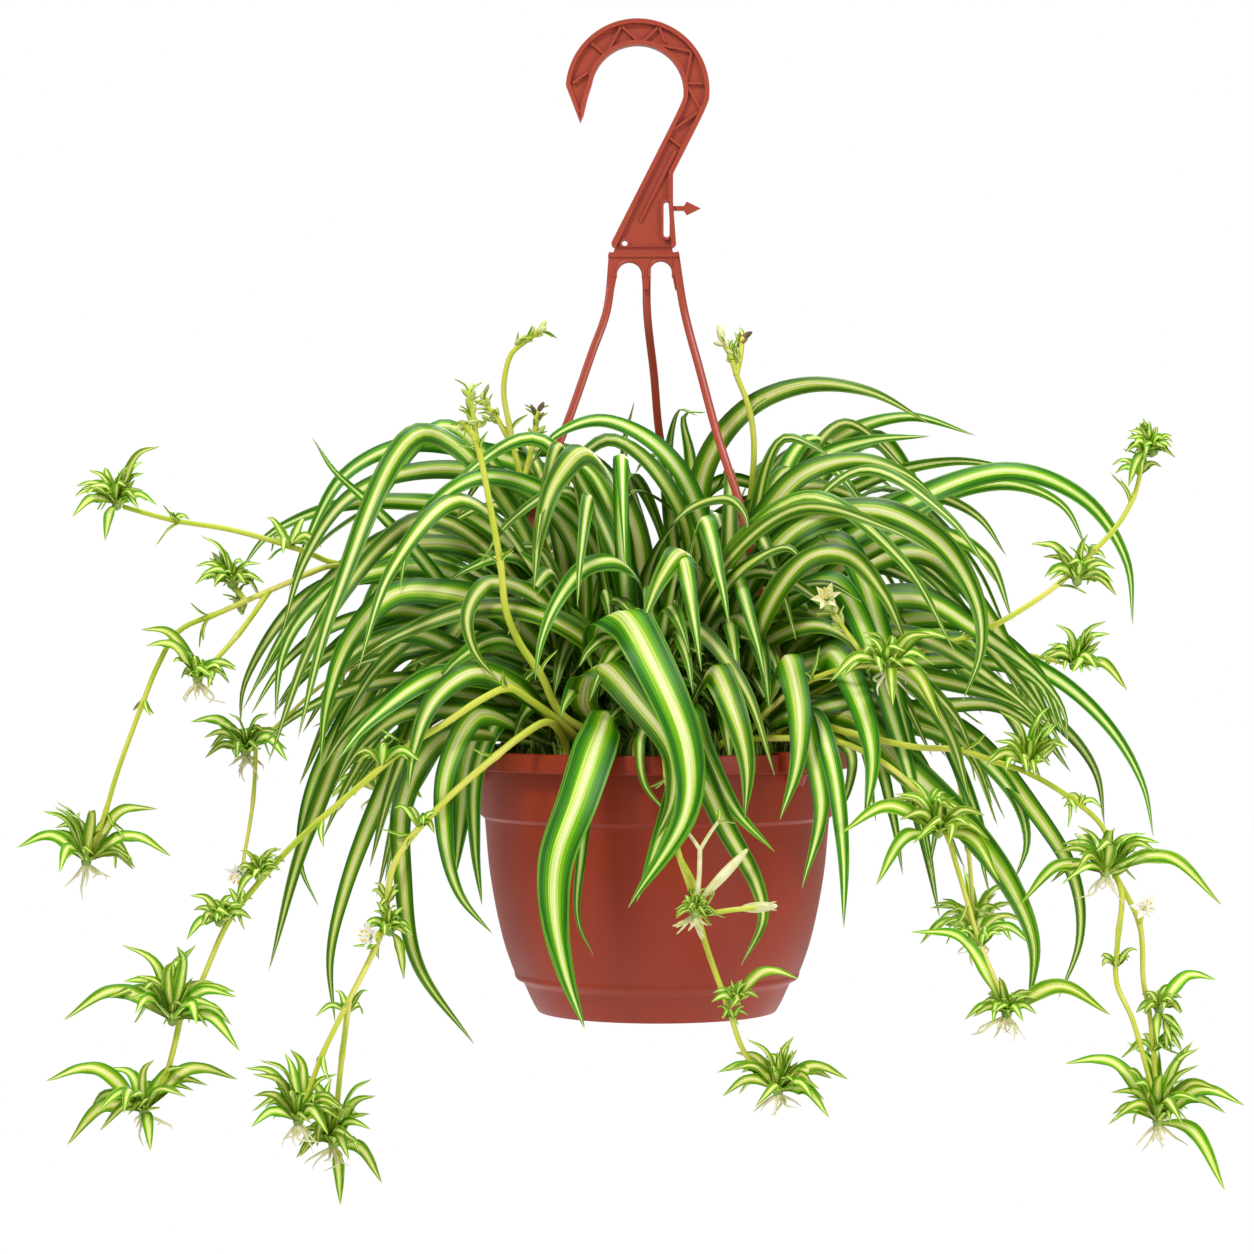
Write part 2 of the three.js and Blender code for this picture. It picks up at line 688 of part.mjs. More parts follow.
const PLANTLET = {
  core: 4.6, coreHigh: 4.4, coreLow: 3.8, sunk: 2.6, rise: 0.26,
  rootRadius: 1.1, rootLength: 17, rootSunk: 2,
};
const GOLDEN_ANGLE = 137.508;
const BLADE_APART = 32;
const SWINGS = [0, 18, -18, 36, -36];

function fraction(index, step) {
  return (index * step) % 1;
}

function azimuthOf(vector) {
  return (THREE.MathUtils.radToDeg(Math.atan2(vector.y, vector.x)) + 360) % 360;
}

function plantletCentre(name) {
  const { at, grow } = PLANTLETS[name];
  return spot(at).add(new THREE.Vector3(...grow));
}

// Pale root tips that hang from the heart of a plantlet.
function rootTips(name) {
  const collar = plantletCentre(name).add(new THREE.Vector3(0, 0, -PLANTLET.rootSunk));
  return Array.from({ length: PLANTLETS[name].roots }, (_, index) => {
    const azimuth = 40 + index * GOLDEN_ANGLE;
    const spread = 0.3 + 0.3 * fraction(index + 1, 0.618);
    const length = PLANTLET.rootLength * (0.75 + 0.5 * fraction(index + 1, 0.755));
    const middle = collar.clone().add(polar(spread * 0.5 * length, azimuth, -0.45 * length));
    const tip = collar.clone().add(polar(spread * length, azimuth + 25, -length));
    const rings = [[collar, 1], [middle, 0.8]].map(([point, share]) => (
      Array.from({ length: 3 }, (_side, side) => (
        point.clone().add(polar(PLANTLET.rootRadius * share, side * 120, 0))
      ))
    ));
    return skin(rings, tip);
  });
}

// The leaves of a plantlet, each as the three points of its arch: the long ones first, and then
// one in each direction that they leave open, by turns flat and steep.
function plantletLeaves(name) {
  const { at, length, leaves, tips } = PLANTLETS[name];
  const centre = plantletCentre(name);
  const taken = [];
  const arches = tips.map((place) => {
    const tip = spot(place);
    const reach = tip.distanceTo(centre);
    const middle = centre.clone().lerp(tip, 0.5);
    middle.z += PLANTLET.rise * reach;
    taken.push(azimuthOf(tip.clone().sub(centre)));
    return { points: [centre, middle, tip], width: Math.min(8, 3.5 + 0.08 * reach) };
  });
  for (let index = 0; index < leaves; index += 1) {
    const azimuth = (at[0] + index * 360 / leaves) % 360;
    const near = taken.some((other) => Math.abs(((azimuth - other + 540) % 360) - 180) < BLADE_APART);
    const steep = [0.08, 0.72, 0.3][index % 3];
    if (!near) {
      const reach = length * (0.78 + 0.22 * fraction(index, 0.755));
      const middle = polar(reach * (0.5 - 0.26 * steep), azimuth, reach * (0.24 + 0.4 * steep));
      const tip = polar(reach * (0.98 - 0.5 * steep), azimuth + 8, reach * (0.95 * steep - 0.2));
      arches.push({ points: [centre, middle.add(centre), tip.add(centre)], width: 2.4 + 0.11 * length });
    }
  }
  return arches;
}

// The first of a leaf's swings about the plantlet's centre that clears what is there already.
function swungClear(node, centre, { points, width }) {
  const axis = new THREE.Vector3(0, 0, 1);
  const start = PLANTLET.sunk / points[0].distanceTo(points.at(-1));
  return SWINGS
    .map((swing) => points.map((point) => (
      point.clone().sub(centre).applyAxisAngle(axis, radians(swing)).add(centre)
    )))
    .map((swung) => blade(swung, width, [start, 0.52]))
    .find((body) => clears(node, body));
}

function makePlantlet(name) {
  const centre = plantletCentre(name);
  const { core, coreHigh, coreLow } = PLANTLET;
  const heart = lathe([[0, -coreLow], [core, 0.4], [0, coreHigh]], 6).translate(centre.toArray());
  const blades = plantletLeaves(name)
    .map((leaf) => swungClear(`plantlet_${name}`, centre, leaf))
    .filter((body) => body !== undefined);
  return largest(join([heart, ...blades, ...rootTips(name)])).simplify(EVEN);
}

// Each flower: the end of its stem, and the way it faces.
const FLOWERS = {
  left_middle: { at: [242, 869, -38], facing: [-0.3, -0.7, -0.5] },
  left_front: { at: [374, 938, -137], facing: [-0.5, -0.8, 0.2] },
  front: { at: [764, 907, -147], facing: [0.9, -0.4, 0.1] },
  right_front: { at: [828, 602, -126], facing: [-0.2, -0.8, 0.5] },
  right_low: { at: [1143, 910, -110], facing: [0.1, -0.9, 0.3] },
};
const FLOWER = { heart: 2.8, heartLength: 4, seat: 2.9, petals: 6, petal: 9.5, width: 3.4 };

function makeFlower(name) {
  const { at, facing } = FLOWERS[name];
  const front = new THREE.Vector3(...facing).normalize();
  const centre = spot(at).addScaledVector(front, FLOWER.seat);
  const turn = new THREE.Quaternion().setFromUnitVectors(new THREE.Vector3(0, 0, 1), front);
  const place = (point) => point.applyQuaternion(turn).add(centre);
  const heart = new THREE.ConeGeometry(FLOWER.heart, FLOWER.heartLength, 6);
  heart.rotateX(Math.PI / 2).applyQuaternion(turn).translate(...centre.toArray());
  const petals = Array.from({ length: FLOWER.petals }, (_, index) => {
    const azimuth = index * 360 / FLOWER.petals;
    const points = [polar(0.4, azimuth, -0.6), polar(FLOWER.petal * 0.55, azimuth, 1.4),
      polar(FLOWER.petal, azimuth, 1)];
    return blade(points.map(place), FLOWER.width, [0.02, 0.5]);
  });
  const clear = petals.filter((petal) => clears(`flower_${name}`, petal));
  return largest(join([solid(heart), ...clear])).simplify(EVEN);
}

// ---------------------------------------------------------------- crowns of long leaves

// Long leaves that show singly: the width, then the route from where the leaf clears its crown
// to its tip.
const LEAVES = [
  [23, [600, 640, -72], [619, 611, -96], [655, 668, -128], [687, 750, -146], [686, 812, -150],
    [628, 908, -152]],
  [22, [612, 712, -82], [600, 735, -110], [578, 800, -130], [556, 862, -136], [555, 920, -138],
    [566, 975, -139], [585, 1030, -140]],
  [13, [672, 715, -88], [690, 748, -114], [725, 826, -129], [757, 885, -133], [763, 920, -134],
    [741, 966, -135]],
  [12, [689, 710, -92], [705, 752, -116], [737, 812, -127], [775, 852, -132]],
  [17, [694, 700, -80], [711, 668, -96], [734, 712, -119], [747, 765, -128], [745, 818, -130]],
  [16, [776, 690, -80], [785, 655, -92], [799, 712, -115], [797, 765, -122], [780, 820, -124]],
  [17, [811, 662, -69], [831, 651, -87], [856, 692, -104], [872, 755, -115], [865, 822, -119]],
  [12, [798, 712, -90], [812, 752, -112], [821, 810, -118], [802, 889, -120]],
  [11, [809, 714, -92], [830, 757, -114], [843, 850, -118], [844, 929, -116]],
  [14, [716, 640, -54], [736, 616, -72], [760, 648, -86], [770, 711, -92]],
  [14, [694, 690, -60], [706, 625, -72], [742, 570, -86], [786, 547, -94], [807, 566, -98]],
  [19, [690, 630, -44], [700, 575, -66], [683, 551, -84], [660, 580, -98], [641, 628, -106]],
  [15, [646, 610, -20], [655, 555, -40], [690, 508, -60], [727, 498, -72], [745, 515, -80],
    [748, 536, -84]],
  [15, [706, 600, 0], [690, 492, -16], [650, 440, -32], [602, 419, -42], [556, 435, -50], [528, 468, -54]],
  [19, [628, 560, -44], [612, 480, -60], [586, 450, -74], [556, 482, -86], [540, 532, -93],
    [534, 589, -97]],
  [13, [648, 610, -60], [622, 562, -77], [587, 566, -92], [557, 602, -104], [541, 642, -110],
    [535, 681, -112]],
  [13, [600, 560, -30], [545, 493, -50], [482, 476, -70], [432, 506, -85], [408, 550, -92],
    [399, 593, -96]],
  [13, [590, 560, 20], [545, 478, 10], [480, 451, 0], [410, 443, -10], [345, 475, -20], [308, 540, -28],
    [288, 592, -32]],
  [12, [578, 557, -15], [532, 493, -27], [440, 468, -45], [352, 495, -58], [305, 560, -66],
    [280, 641, -70]],
  [12, [560, 610, 20], [470, 515, 10], [400, 500, 0], [330, 508, -10], [268, 536, -20], [237, 576, -26]],
  [9, [520, 650, 60], [420, 548, 42], [360, 500, 32], [312, 437, 24]],
  [13, [570, 650, -20], [480, 552, -50], [400, 547, -70], [338, 588, -80], [302, 646, -84]],
  [16, [560, 680, -40], [500, 611, -70], [450, 592, -85], [395, 593, -95], [350, 640, -102],
    [328, 700, -106], [320, 763, -108]],
  [14, [560, 732, -50], [522, 692, -80], [475, 671, -105], [434, 700, -118], [414, 750, -124],
    [408, 793, -126]],
  [13, [574, 654, -42], [533, 594, -76], [490, 582, -90], [468, 612, -98], [474, 650, -102],
    [500, 683, -104]],
  [12, [537, 739, -61], [480, 713, -94], [447, 770, -109], [445, 840, -114], [460, 895, -116],
    [493, 935, -117]],
  [12, [530, 742, -48], [445, 736, -92], [404, 800, -108], [403, 880, -115], [418, 965, -119],
    [475, 1046, -121]],
  [11, [523, 703, -27], [432, 702, -54], [384, 790, -72], [345, 890, -77], [330, 960, -79],
    [335, 1025, -79]],
  [10, [520, 690, 10], [400, 650, 8], [338, 730, 4], [305, 810, 0], [301, 866, 0], [319, 908, 0]],
  [10, [556, 738, -40], [505, 716, -62], [477, 770, -70], [475, 845, -72], [482, 906, -72]],
  [15, [704, 590, 30], [703, 475, 24], [745, 411, 14], [805, 384, 4], [870, 392, -5], [930, 424, -12]],
  [13, [730, 620, 50], [765, 520, 44], [825, 446, 34], [905, 416, 24], [977, 436, 18]],
  [14, [745, 602, 9], [778, 509, 3], [822, 457, 0], [872, 440, -5], [931, 436, -10]],
  [16, [720, 640, -30], [752, 542, -45], [800, 476, -55], [858, 459, -62], [905, 473, -68],
    [937, 499, -70]],
  [11, [740, 640, 60], [800, 530, 55], [860, 485, 50], [950, 461, 45], [1028, 471, 40]],
  [14, [760, 640, -20], [830, 555, -30], [910, 502, -38], [1010, 470, -48], [1085, 500, -55],
    [1126, 560, -58], [1133, 627, -60]],
  [12, [770, 660, 0], [850, 570, 0], [930, 502, -4], [1005, 483, -8], [1062, 505, -12], [1088, 552, -14]],
  [12, [750, 640, -10], [820, 550, -20], [870, 510, -25], [925, 494, -30], [977, 516, -34],
    [1007, 557, -36]],
  [18, [736, 613, -63], [790, 534, -78], [835, 512, -84], [885, 511, -91], [940, 542, -98],
    [976, 600, -103], [981, 650, -104], [963, 701, -106]],
  [16, [769, 608, -90], [812, 555, -105], [848, 555, -109], [884, 595, -114], [908, 648, -115]],
  [13, [790, 620, -40], [868, 550, -50], [930, 531, -58], [986, 558, -64], [1013, 622, -68]],
  [18, [792, 717, -44], [851, 715, -71], [900, 762, -91], [962, 822, -102], [1010, 885, -107],
    [1034, 945, -109], [1029, 1006, -108]],
  [13, [794, 692, -55], [862, 665, -85], [912, 682, -101], [950, 735, -110], [970, 801, -114]],
  [11, [860, 660, 18], [960, 640, 12], [1052, 676, 4], [1110, 728, 0], [1143, 785, -3], [1154, 839, -4]],
  [12, [840, 650, 0], [915, 618, -8], [985, 630, -16], [1042, 678, -20], [1068, 741, -22]],
  [11, [873, 688, 53], [976, 681, 49], [1056, 722, 44], [1095, 770, 42], [1105, 827, 40]],
  [12, [860, 704, -16], [960, 730, -38], [1035, 812, -52], [1074, 878, -58], [1080, 938, -60],
    [1058, 1001, -60]],
  [12, [650, 570, 60], [624, 450, 58], [634, 401, 52]],
  [14, [676, 570, 50], [668, 465, 44], [679, 409, 38], [698, 416, 33]],
  [13, [668, 712, -86], [678, 742, -112], [664, 800, -134], [646, 850, -138], [628, 902, -139]],
  [17, [520, 730, -30], [492, 708, -52], [470, 752, -62], [462, 810, -66], [455, 878, -68]],
];

// The other long leaves fill in round the pot by rule.
const FILL = {
  count: 50,
  foremost: [228, 312],
  apex: [178, 330],
  reach: [150, 250],
  droop: [40, 190],
  width: [9, 14],
  frontReach: 118,
  frontTip: 168,
};

// How far a blade's face leans towards the nearer side.
const LEAF = { lean: 52, foot: 7.5, stations: [0, 0.2, 0.42, 0.64, 0.84] };

// The turns that a leaf may take about its crown to clear what stands there already. A degree of
// turn counts as much as this volume shared with its neighbours in the crown.
const TURNS = [0, 3, -3, 6, -6, 9, -9, 13, -13, 17, -17];
const TURN_COST = 20;

function between([low, high], share) {
  return low + (high - low) * share;
}

function crownCentre(index) {
  return polar(CROWN.ring, CROWN.firstAzimuth + index * 360 / CROWN.count, SOIL.top + 8);
}

function nearestCrown(point) {
  const index = Math.round((azimuthOf(point) - CROWN.firstAzimuth) / (360 / CROWN.count));
  return (index + CROWN.count) % CROWN.count;
}

function fillLeaf(index) {
  const azimuth = (index * GOLDEN_ANGLE) % 360;
  const low = fraction(index, 0.755);
  const long = fraction(index, 0.57);
  const apex = between(FILL.apex, 1 - low);
  const front = azimuth > FILL.foremost[0] && azimuth < FILL.foremost[1];
  const reach = front ? FILL.frontReach : between(FILL.reach, long);
  const fall = between(FILL.droop, fraction(index, 0.819));
  const tip = front ? Math.max(FILL.frontTip, apex - 60) : apex - fall;
  const width = between(FILL.width, fraction(index, 0.333));
  return [width, polar(CROWN.ring + 0.2 * (reach - CROWN.ring), azimuth, 138 + 0.72 * (apex - 138)),
    polar(CROWN.ring + 0.55 * (reach - CROWN.ring), azimuth + 3, apex),
    polar(CROWN.ring + 0.86 * (reach - CROWN.ring), azimuth + 5, 0.45 * apex + 0.55 * tip),
    polar(reach, azimuth + 6, tip)];
}

function leafPoints(route, crown, turn) {
  const centre = crownCentre(crown);
  const axis = new THREE.Vector3(0, 0, 1);
  const swung = route.map((point) => (
    point.clone().sub(centre).applyAxisAngle(axis, radians(turn)).add(centre)
  ));
  const outward = swung[0].clone().sub(centre).setZ(0).normalize();
  return [centre.clone().addScaledVector(outward, LEAF.foot), ...swung];
}

function longLeaf(points, width) {
  const heading = points.at(-1).clone().sub(points[0]).setZ(0).normalize();
  const nearer = points.at(-1).y < 20 ? -1 : 1;
  return blade(points, width, LEAF.stations, nearer * radians(LEAF.lean) * heading.x);
}

// ---------------------------------------------------------------- assembly

function crossing(leaf, mates) {
  return mates.reduce((sum, mate) => sum + leaf.intersect(mate).volume(), 0);
}

function makeCrowns() {
  const crowns = Array.from({ length: CROWN.count }, (_, index) => {
    const { x, y } = crownCentre(index);
    const low = SOIL.top - SOIL.holeDepth + SEAT;
    return [cylinder(CROWN.radius, low, SOIL.top + CROWN.rise, x, y, CROWN.sides)];
  });
  const heroes = LEAVES.map(([width, ...route]) => [width, ...route.map(spot)]);
  const fill = Array.from({ length: FILL.count }, (_, index) => fillLeaf(index));
  for (const [width, ...route] of [...heroes, ...fill]) {
    const crown = nearestCrown(route.at(-1));
    const name = `crown_${crown + 1}`;
    const mates = crowns[crown].slice(1);
    const best = TURNS
      .map((turn) => ({ turn, leaf: longLeaf(leafPoints(route, crown, turn), width) }))
      .filter(({ leaf }) => clears(name, leaf))
      .map(({ turn, leaf }) => ({ leaf, cost: crossing(leaf, mates) + TURN_COST * Math.abs(turn) }))
      .reduce((least, next) => (least && least.cost <= next.cost ? least : next), undefined);
    if (best) {
      crowns[crown].push(best.leaf);
      keep(name, best.leaf);
    }
  }
  return crowns.map((parts) => largest(join(parts)).simplify(EVEN));
}

function mesh(name, body, look) {
  const { vertProperties, triVerts } = body.getMesh();
  const geometry = new THREE.BufferGeometry();
  geometry.setAttribute('position', new THREE.Float32BufferAttribute(vertProperties, 3));
  geometry.setIndex(Array.from(triVerts));
  geometry.computeVertexNormals();
  const part = new THREE.Mesh(geometry, new THREE.MeshStandardMaterial(look));
  part.name = name;
  return part;
}

const crownHoles = Array.from({ length: CROWN.count }, (_, index) => {
  const { x, y } = crownCentre(index);
  return { x, y, radius: CROWN.radius + CROWN.clearance, sides: CROWN.sides };
});
const stemHoles = Object.values(STEMS).map(({ foot, radius }) => (
  { x: foot[0], y: foot[1], radius: radius + SOIL.stemClearance, sides: STEM.holeSides }
));

const plant = new THREE.Group();
plant.position.set(-BEARING.x, 0, -BEARING.z);

function add(name, body, look) {
  keep(name, body);
  plant.add(mesh(name, body, look));
}

add('pot', makePot(), COLOURS.plastic);
add('soil', makeSoil([...crownHoles, ...stemHoles]), COLOURS.soil);
add('hanger', makeHanger(), COLOURS.plastic);

for (const name of Object.keys(STEMS)) {
  add(name, makeStem(name), COLOURS.stem);
}
for (const name of Object.keys(FLOWERS)) {
  add(`flower_${name}`, makeFlower(name), COLOURS.flower);
}
for (const name of Object.keys(PLANTLETS)) {
  add(`plantlet_${name}`, makePlantlet(name), COLOURS.plantlet);
}
makeCrowns().forEach((body, index) => plant.add(mesh(`crown_${index + 1}`, body, COLOURS.leaf)));

export default plant;
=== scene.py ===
"""A variegated spider plant in a hanging pot: fine surfaces, materials, camera and light."""

import math
import random

import bmesh
import bpy
from mathutils import Matrix, Vector, kdtree


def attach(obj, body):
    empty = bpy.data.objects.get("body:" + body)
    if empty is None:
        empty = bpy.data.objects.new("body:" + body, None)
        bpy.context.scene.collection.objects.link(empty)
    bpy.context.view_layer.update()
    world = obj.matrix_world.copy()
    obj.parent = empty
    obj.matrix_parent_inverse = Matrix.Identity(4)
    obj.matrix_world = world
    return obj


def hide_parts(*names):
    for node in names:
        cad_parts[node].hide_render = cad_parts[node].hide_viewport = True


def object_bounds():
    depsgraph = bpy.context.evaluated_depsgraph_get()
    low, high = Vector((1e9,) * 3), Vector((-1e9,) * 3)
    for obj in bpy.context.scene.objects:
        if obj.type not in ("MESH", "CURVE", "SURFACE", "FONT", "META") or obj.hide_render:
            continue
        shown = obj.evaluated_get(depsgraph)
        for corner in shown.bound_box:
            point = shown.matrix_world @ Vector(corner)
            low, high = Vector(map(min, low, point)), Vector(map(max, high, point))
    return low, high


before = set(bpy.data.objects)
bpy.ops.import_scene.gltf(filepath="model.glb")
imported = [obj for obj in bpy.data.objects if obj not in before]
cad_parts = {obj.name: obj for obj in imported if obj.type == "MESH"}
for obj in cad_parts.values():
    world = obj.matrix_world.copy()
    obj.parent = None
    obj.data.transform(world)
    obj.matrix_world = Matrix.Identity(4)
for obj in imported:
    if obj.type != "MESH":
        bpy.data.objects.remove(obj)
CAD_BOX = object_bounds()

# ---------------------------------------------------------------- driving dimensions

# Lengths are in millimetres in the plant's own layout: the pot's axis at X = Y = 0 and its base
# at Z = 0. BEARING is the point of the hook that is the origin of the frame.
MM = 0.001
BEARING = Vector((-10.9, 0, 541.0))

# Routes of leaves and stems are read off the front view: across and down in its pixels, and
# depth in millimetres behind the pot's axis. The eye is level, 2 m in front of the axis.
PICTURE = 1254
EYE_DISTANCE = 2000
MM_PER_PIXEL = 0.5612
PIXEL_ACROSS = 627
PIXEL_DOWN = 600
EYE_X = -16.8
EYE_Z = 230.1

POT_HEIGHT = 147
FLANGE_RADIUS = 110
FLANGE_DROP = 10
MOUTH_RADIUS = 99.3
WALL = 2
FLOOR = 2.5
POT_OUTER = [(66, 0), (74.6, 13), (79, 18.6), (86.4, 40.6), (93.4, 75.3), (96.6, 108), (98.9, 110),
             (101.3, 132.7)]
POT_FOOT = [(66.8, 0), (69.2, 4), (71.4, 8.5), (73.2, 12.6), (74.6, 15.6), (76.2, 17.3)]
# The ridge over the foot, from the place where the wall starts.
POT_RIDGE = [(-0.5, -0.6), (0.5, 0.6), (0.9, 2.0), (1.0, 3.4)]
WALL_POINTS = 4
BASE_HOLLOW = 0.8
BASE_RING = (6, 4)
DRAIN_HOLES = 4
DRAIN_RADIUS = 4
DRAIN_CIRCLE = 38
LUG_AZIMUTHS = (196, 76, -44)
LUG_RADIUS = 106.5
LUG_INNER = 101.9
LUG_OUTER = 113.5
LUG_HALF_WIDTH = 18.5
LUG_BORE = 3.6
LUG_RISE = 1.3
LUG_EDGE = 1.2
SOIL_TOP = 138
SOIL_DOME = 3
SOIL_RADIUS = 98.7
SOIL_GAP = 0.6

CROWNS = 7
CROWN_FIRST = 12
CROWN_RING = 50
CROWN_RADIUS = 11
CROWN_MIDDLE = 146
CROWN_BOTTOM = 122
LEAF_LEAN = 52
LEAF_FOOT = 7.5
TURNS = (0, 3, -3, 6, -6, 9, -9, 13, -13, 17, -17)
SWINGS = (0, 18, -18, 36, -36)
GOLDEN_ANGLE = 137.508
FILL_COUNT = 50
# How near a tip has to lie to a corner of the node's solid to be that leaf's.
SAME_PLACE = 0.6

HOOK_X = -10.9
HOOK_Z = 515.2
HOOK_OUTER = 40.3
HOOK_INNER = 25.8
HOOK_DEPTH = 8
HOOK_FLANGE = 2.5
HOOK_WEB = 2.4

# Long leaves that show singly: the width, then the route from where the leaf clears its crown
# to its tip.
LEAVES = (
    (23, (600, 640, -72), (619, 611, -96), (655, 668, -128), (687, 750, -146), (686, 812, -150),
     (628, 908, -152)),
    (22, (612, 712, -82), (600, 735, -110), (578, 800, -130), (556, 862, -136), (555, 920, -138),
     (566, 975, -139), (585, 1030, -140)),
    (13, (672, 715, -88), (690, 748, -114), (725, 826, -129), (757, 885, -133), (763, 920, -134),
     (741, 966, -135)),
    (12, (689, 710, -92), (705, 752, -116), (737, 812, -127), (775, 852, -132)),
    (17, (694, 700, -80), (711, 668, -96), (734, 712, -119), (747, 765, -128), (745, 818, -130)),
    (16, (776, 690, -80), (785, 655, -92), (799, 712, -115), (797, 765, -122), (780, 820, -124)),
    (17, (811, 662, -69), (831, 651, -87), (856, 692, -104), (872, 755, -115), (865, 822, -119)),
    (12, (798, 712, -90), (812, 752, -112), (821, 810, -118), (802, 889, -120)),
    (11, (809, 714, -92), (830, 757, -114), (843, 850, -118), (844, 929, -116)),
    (14, (716, 640, -54), (736, 616, -72), (760, 648, -86), (770, 711, -92)),
    (14, (694, 690, -60), (706, 625, -72), (742, 570, -86), (786, 547, -94), (807, 566, -98)),
    (19, (690, 630, -44), (700, 575, -66), (683, 551, -84), (660, 580, -98), (641, 628, -106)),
    (15, (646, 610, -20), (655, 555, -40), (690, 508, -60), (727, 498, -72), (745, 515, -80),
     (748, 536, -84)),
    (15, (706, 600, 0), (690, 492, -16), (650, 440, -32), (602, 419, -42), (556, 435, -50),
     (528, 468, -54)),
    (19, (628, 560, -44), (612, 480, -60), (586, 450, -74), (556, 482, -86), (540, 532, -93),
     (534, 589, -97)),
    (13, (648, 610, -60), (622, 562, -77), (587, 566, -92), (557, 602, -104), (541, 642, -110),
     (535, 681, -112)),
    (13, (600, 560, -30), (545, 493, -50), (482, 476, -70), (432, 506, -85), (408, 550, -92),
     (399, 593, -96)),
    (13, (590, 560, 20), (545, 478, 10), (480, 451, 0), (410, 443, -10), (345, 475, -20),
     (308, 540, -28), (288, 592, -32)),
    (12, (578, 557, -15), (532, 493, -27), (440, 468, -45), (352, 495, -58), (305, 560, -66),
     (280, 641, -70)),
    (12, (560, 610, 20), (470, 515, 10), (400, 500, 0), (330, 508, -10), (268, 536, -20), (237, 576, -26)),
    (9, (520, 650, 60), (420, 548, 42), (360, 500, 32), (312, 437, 24)),
    (13, (570, 650, -20), (480, 552, -50), (400, 547, -70), (338, 588, -80), (302, 646, -84)),
    (16, (560, 680, -40), (500, 611, -70), (450, 592, -85), (395, 593, -95), (350, 640, -102),
     (328, 700, -106), (320, 763, -108)),
    (14, (560, 732, -50), (522, 692, -80), (475, 671, -105), (434, 700, -118), (414, 750, -124),
     (408, 793, -126)),
    (13, (574, 654, -42), (533, 594, -76), (490, 582, -90), (468, 612, -98), (474, 650, -102),
     (500, 683, -104)),
    (12, (537, 739, -61), (480, 713, -94), (447, 770, -109), (445, 840, -114), (460, 895, -116),
     (493, 935, -117)),
    (12, (530, 742, -48), (445, 736, -92), (404, 800, -108), (403, 880, -115), (418, 965, -119),
     (475, 1046, -121)),
    (11, (523, 703, -27), (432, 702, -54), (384, 790, -72), (345, 890, -77), (330, 960, -79),
     (335, 1025, -79)),
    (10, (520, 690, 10), (400, 650, 8), (338, 730, 4), (305, 810, 0), (301, 866, 0), (319, 908, 0)),
    (10, (556, 738, -40), (505, 716, -62), (477, 770, -70), (475, 845, -72), (482, 906, -72)),
    (15, (704, 590, 30), (703, 475, 24), (745, 411, 14), (805, 384, 4), (870, 392, -5), (930, 424, -12)),
    (13, (730, 620, 50), (765, 520, 44), (825, 446, 34), (905, 416, 24), (977, 436, 18)),
    (14, (745, 602, 9), (778, 509, 3), (822, 457, 0), (872, 440, -5), (931, 436, -10)),
    (16, (720, 640, -30), (752, 542, -45), (800, 476, -55), (858, 459, -62), (905, 473, -68),
     (937, 499, -70)),
    (11, (740, 640, 60), (800, 530, 55), (860, 485, 50), (950, 461, 45), (1028, 471, 40)),
    (14, (760, 640, -20), (830, 555, -30), (910, 502, -38), (1010, 470, -48), (1085, 500, -55),
     (1126, 560, -58), (1133, 627, -60)),
    (12, (770, 660, 0), (850, 570, 0), (930, 502, -4), (1005, 483, -8), (1062, 505, -12), (1088, 552, -14)),
    (12, (750, 640, -10), (820, 550, -20), (870, 510, -25), (925, 494, -30), (977, 516, -34),
     (1007, 557, -36)),
    (18, (736, 613, -63), (790, 534, -78), (835, 512, -84), (885, 511, -91), (940, 542, -98),
     (976, 600, -103), (981, 650, -104), (963, 701, -106)),
    (16, (769, 608, -90), (812, 555, -105), (848, 555, -109), (884, 595, -114), (908, 648, -115)),
    (13, (790, 620, -40), (868, 550, -50), (930, 531, -58), (986, 558, -64), (1013, 622, -68)),
    (18, (792, 717, -44), (851, 715, -71), (900, 762, -91), (962, 822, -102), (1010, 885, -107),
     (1034, 945, -109), (1029, 1006, -108)),
    (13, (794, 692, -55), (862, 665, -85), (912, 682, -101), (950, 735, -110), (970, 801, -114)),
    (11, (860, 660, 18), (960, 640, 12), (1052, 676, 4), (1110, 728, 0), (1143, 785, -3), (1154, 839, -4)),
    (12, (840, 650, 0), (915, 618, -8), (985, 630, -16), (1042, 678, -20), (1068, 741, -22)),
    (11, (873, 688, 53), (976, 681, 49), (1056, 722, 44), (1095, 770, 42), (1105, 827, 40)),
    (12, (860, 704, -16), (960, 730, -38), (1035, 812, -52), (1074, 878, -58), (1080, 938, -60),
     (1058, 1001, -60)),
    (12, (650, 570, 60), (624, 450, 58), (634, 401, 52)),
    (14, (676, 570, 50), (668, 465, 44), (679, 409, 38), (698, 416, 33)),
    (13, (668, 712, -86), (678, 742, -112), (664, 800, -134), (646, 850, -138), (628, 902, -139)),
    (17, (520, 730, -30), (492, 708, -52), (470, 752, -62), (462, 810, -66), (455, 878, -68)),
)

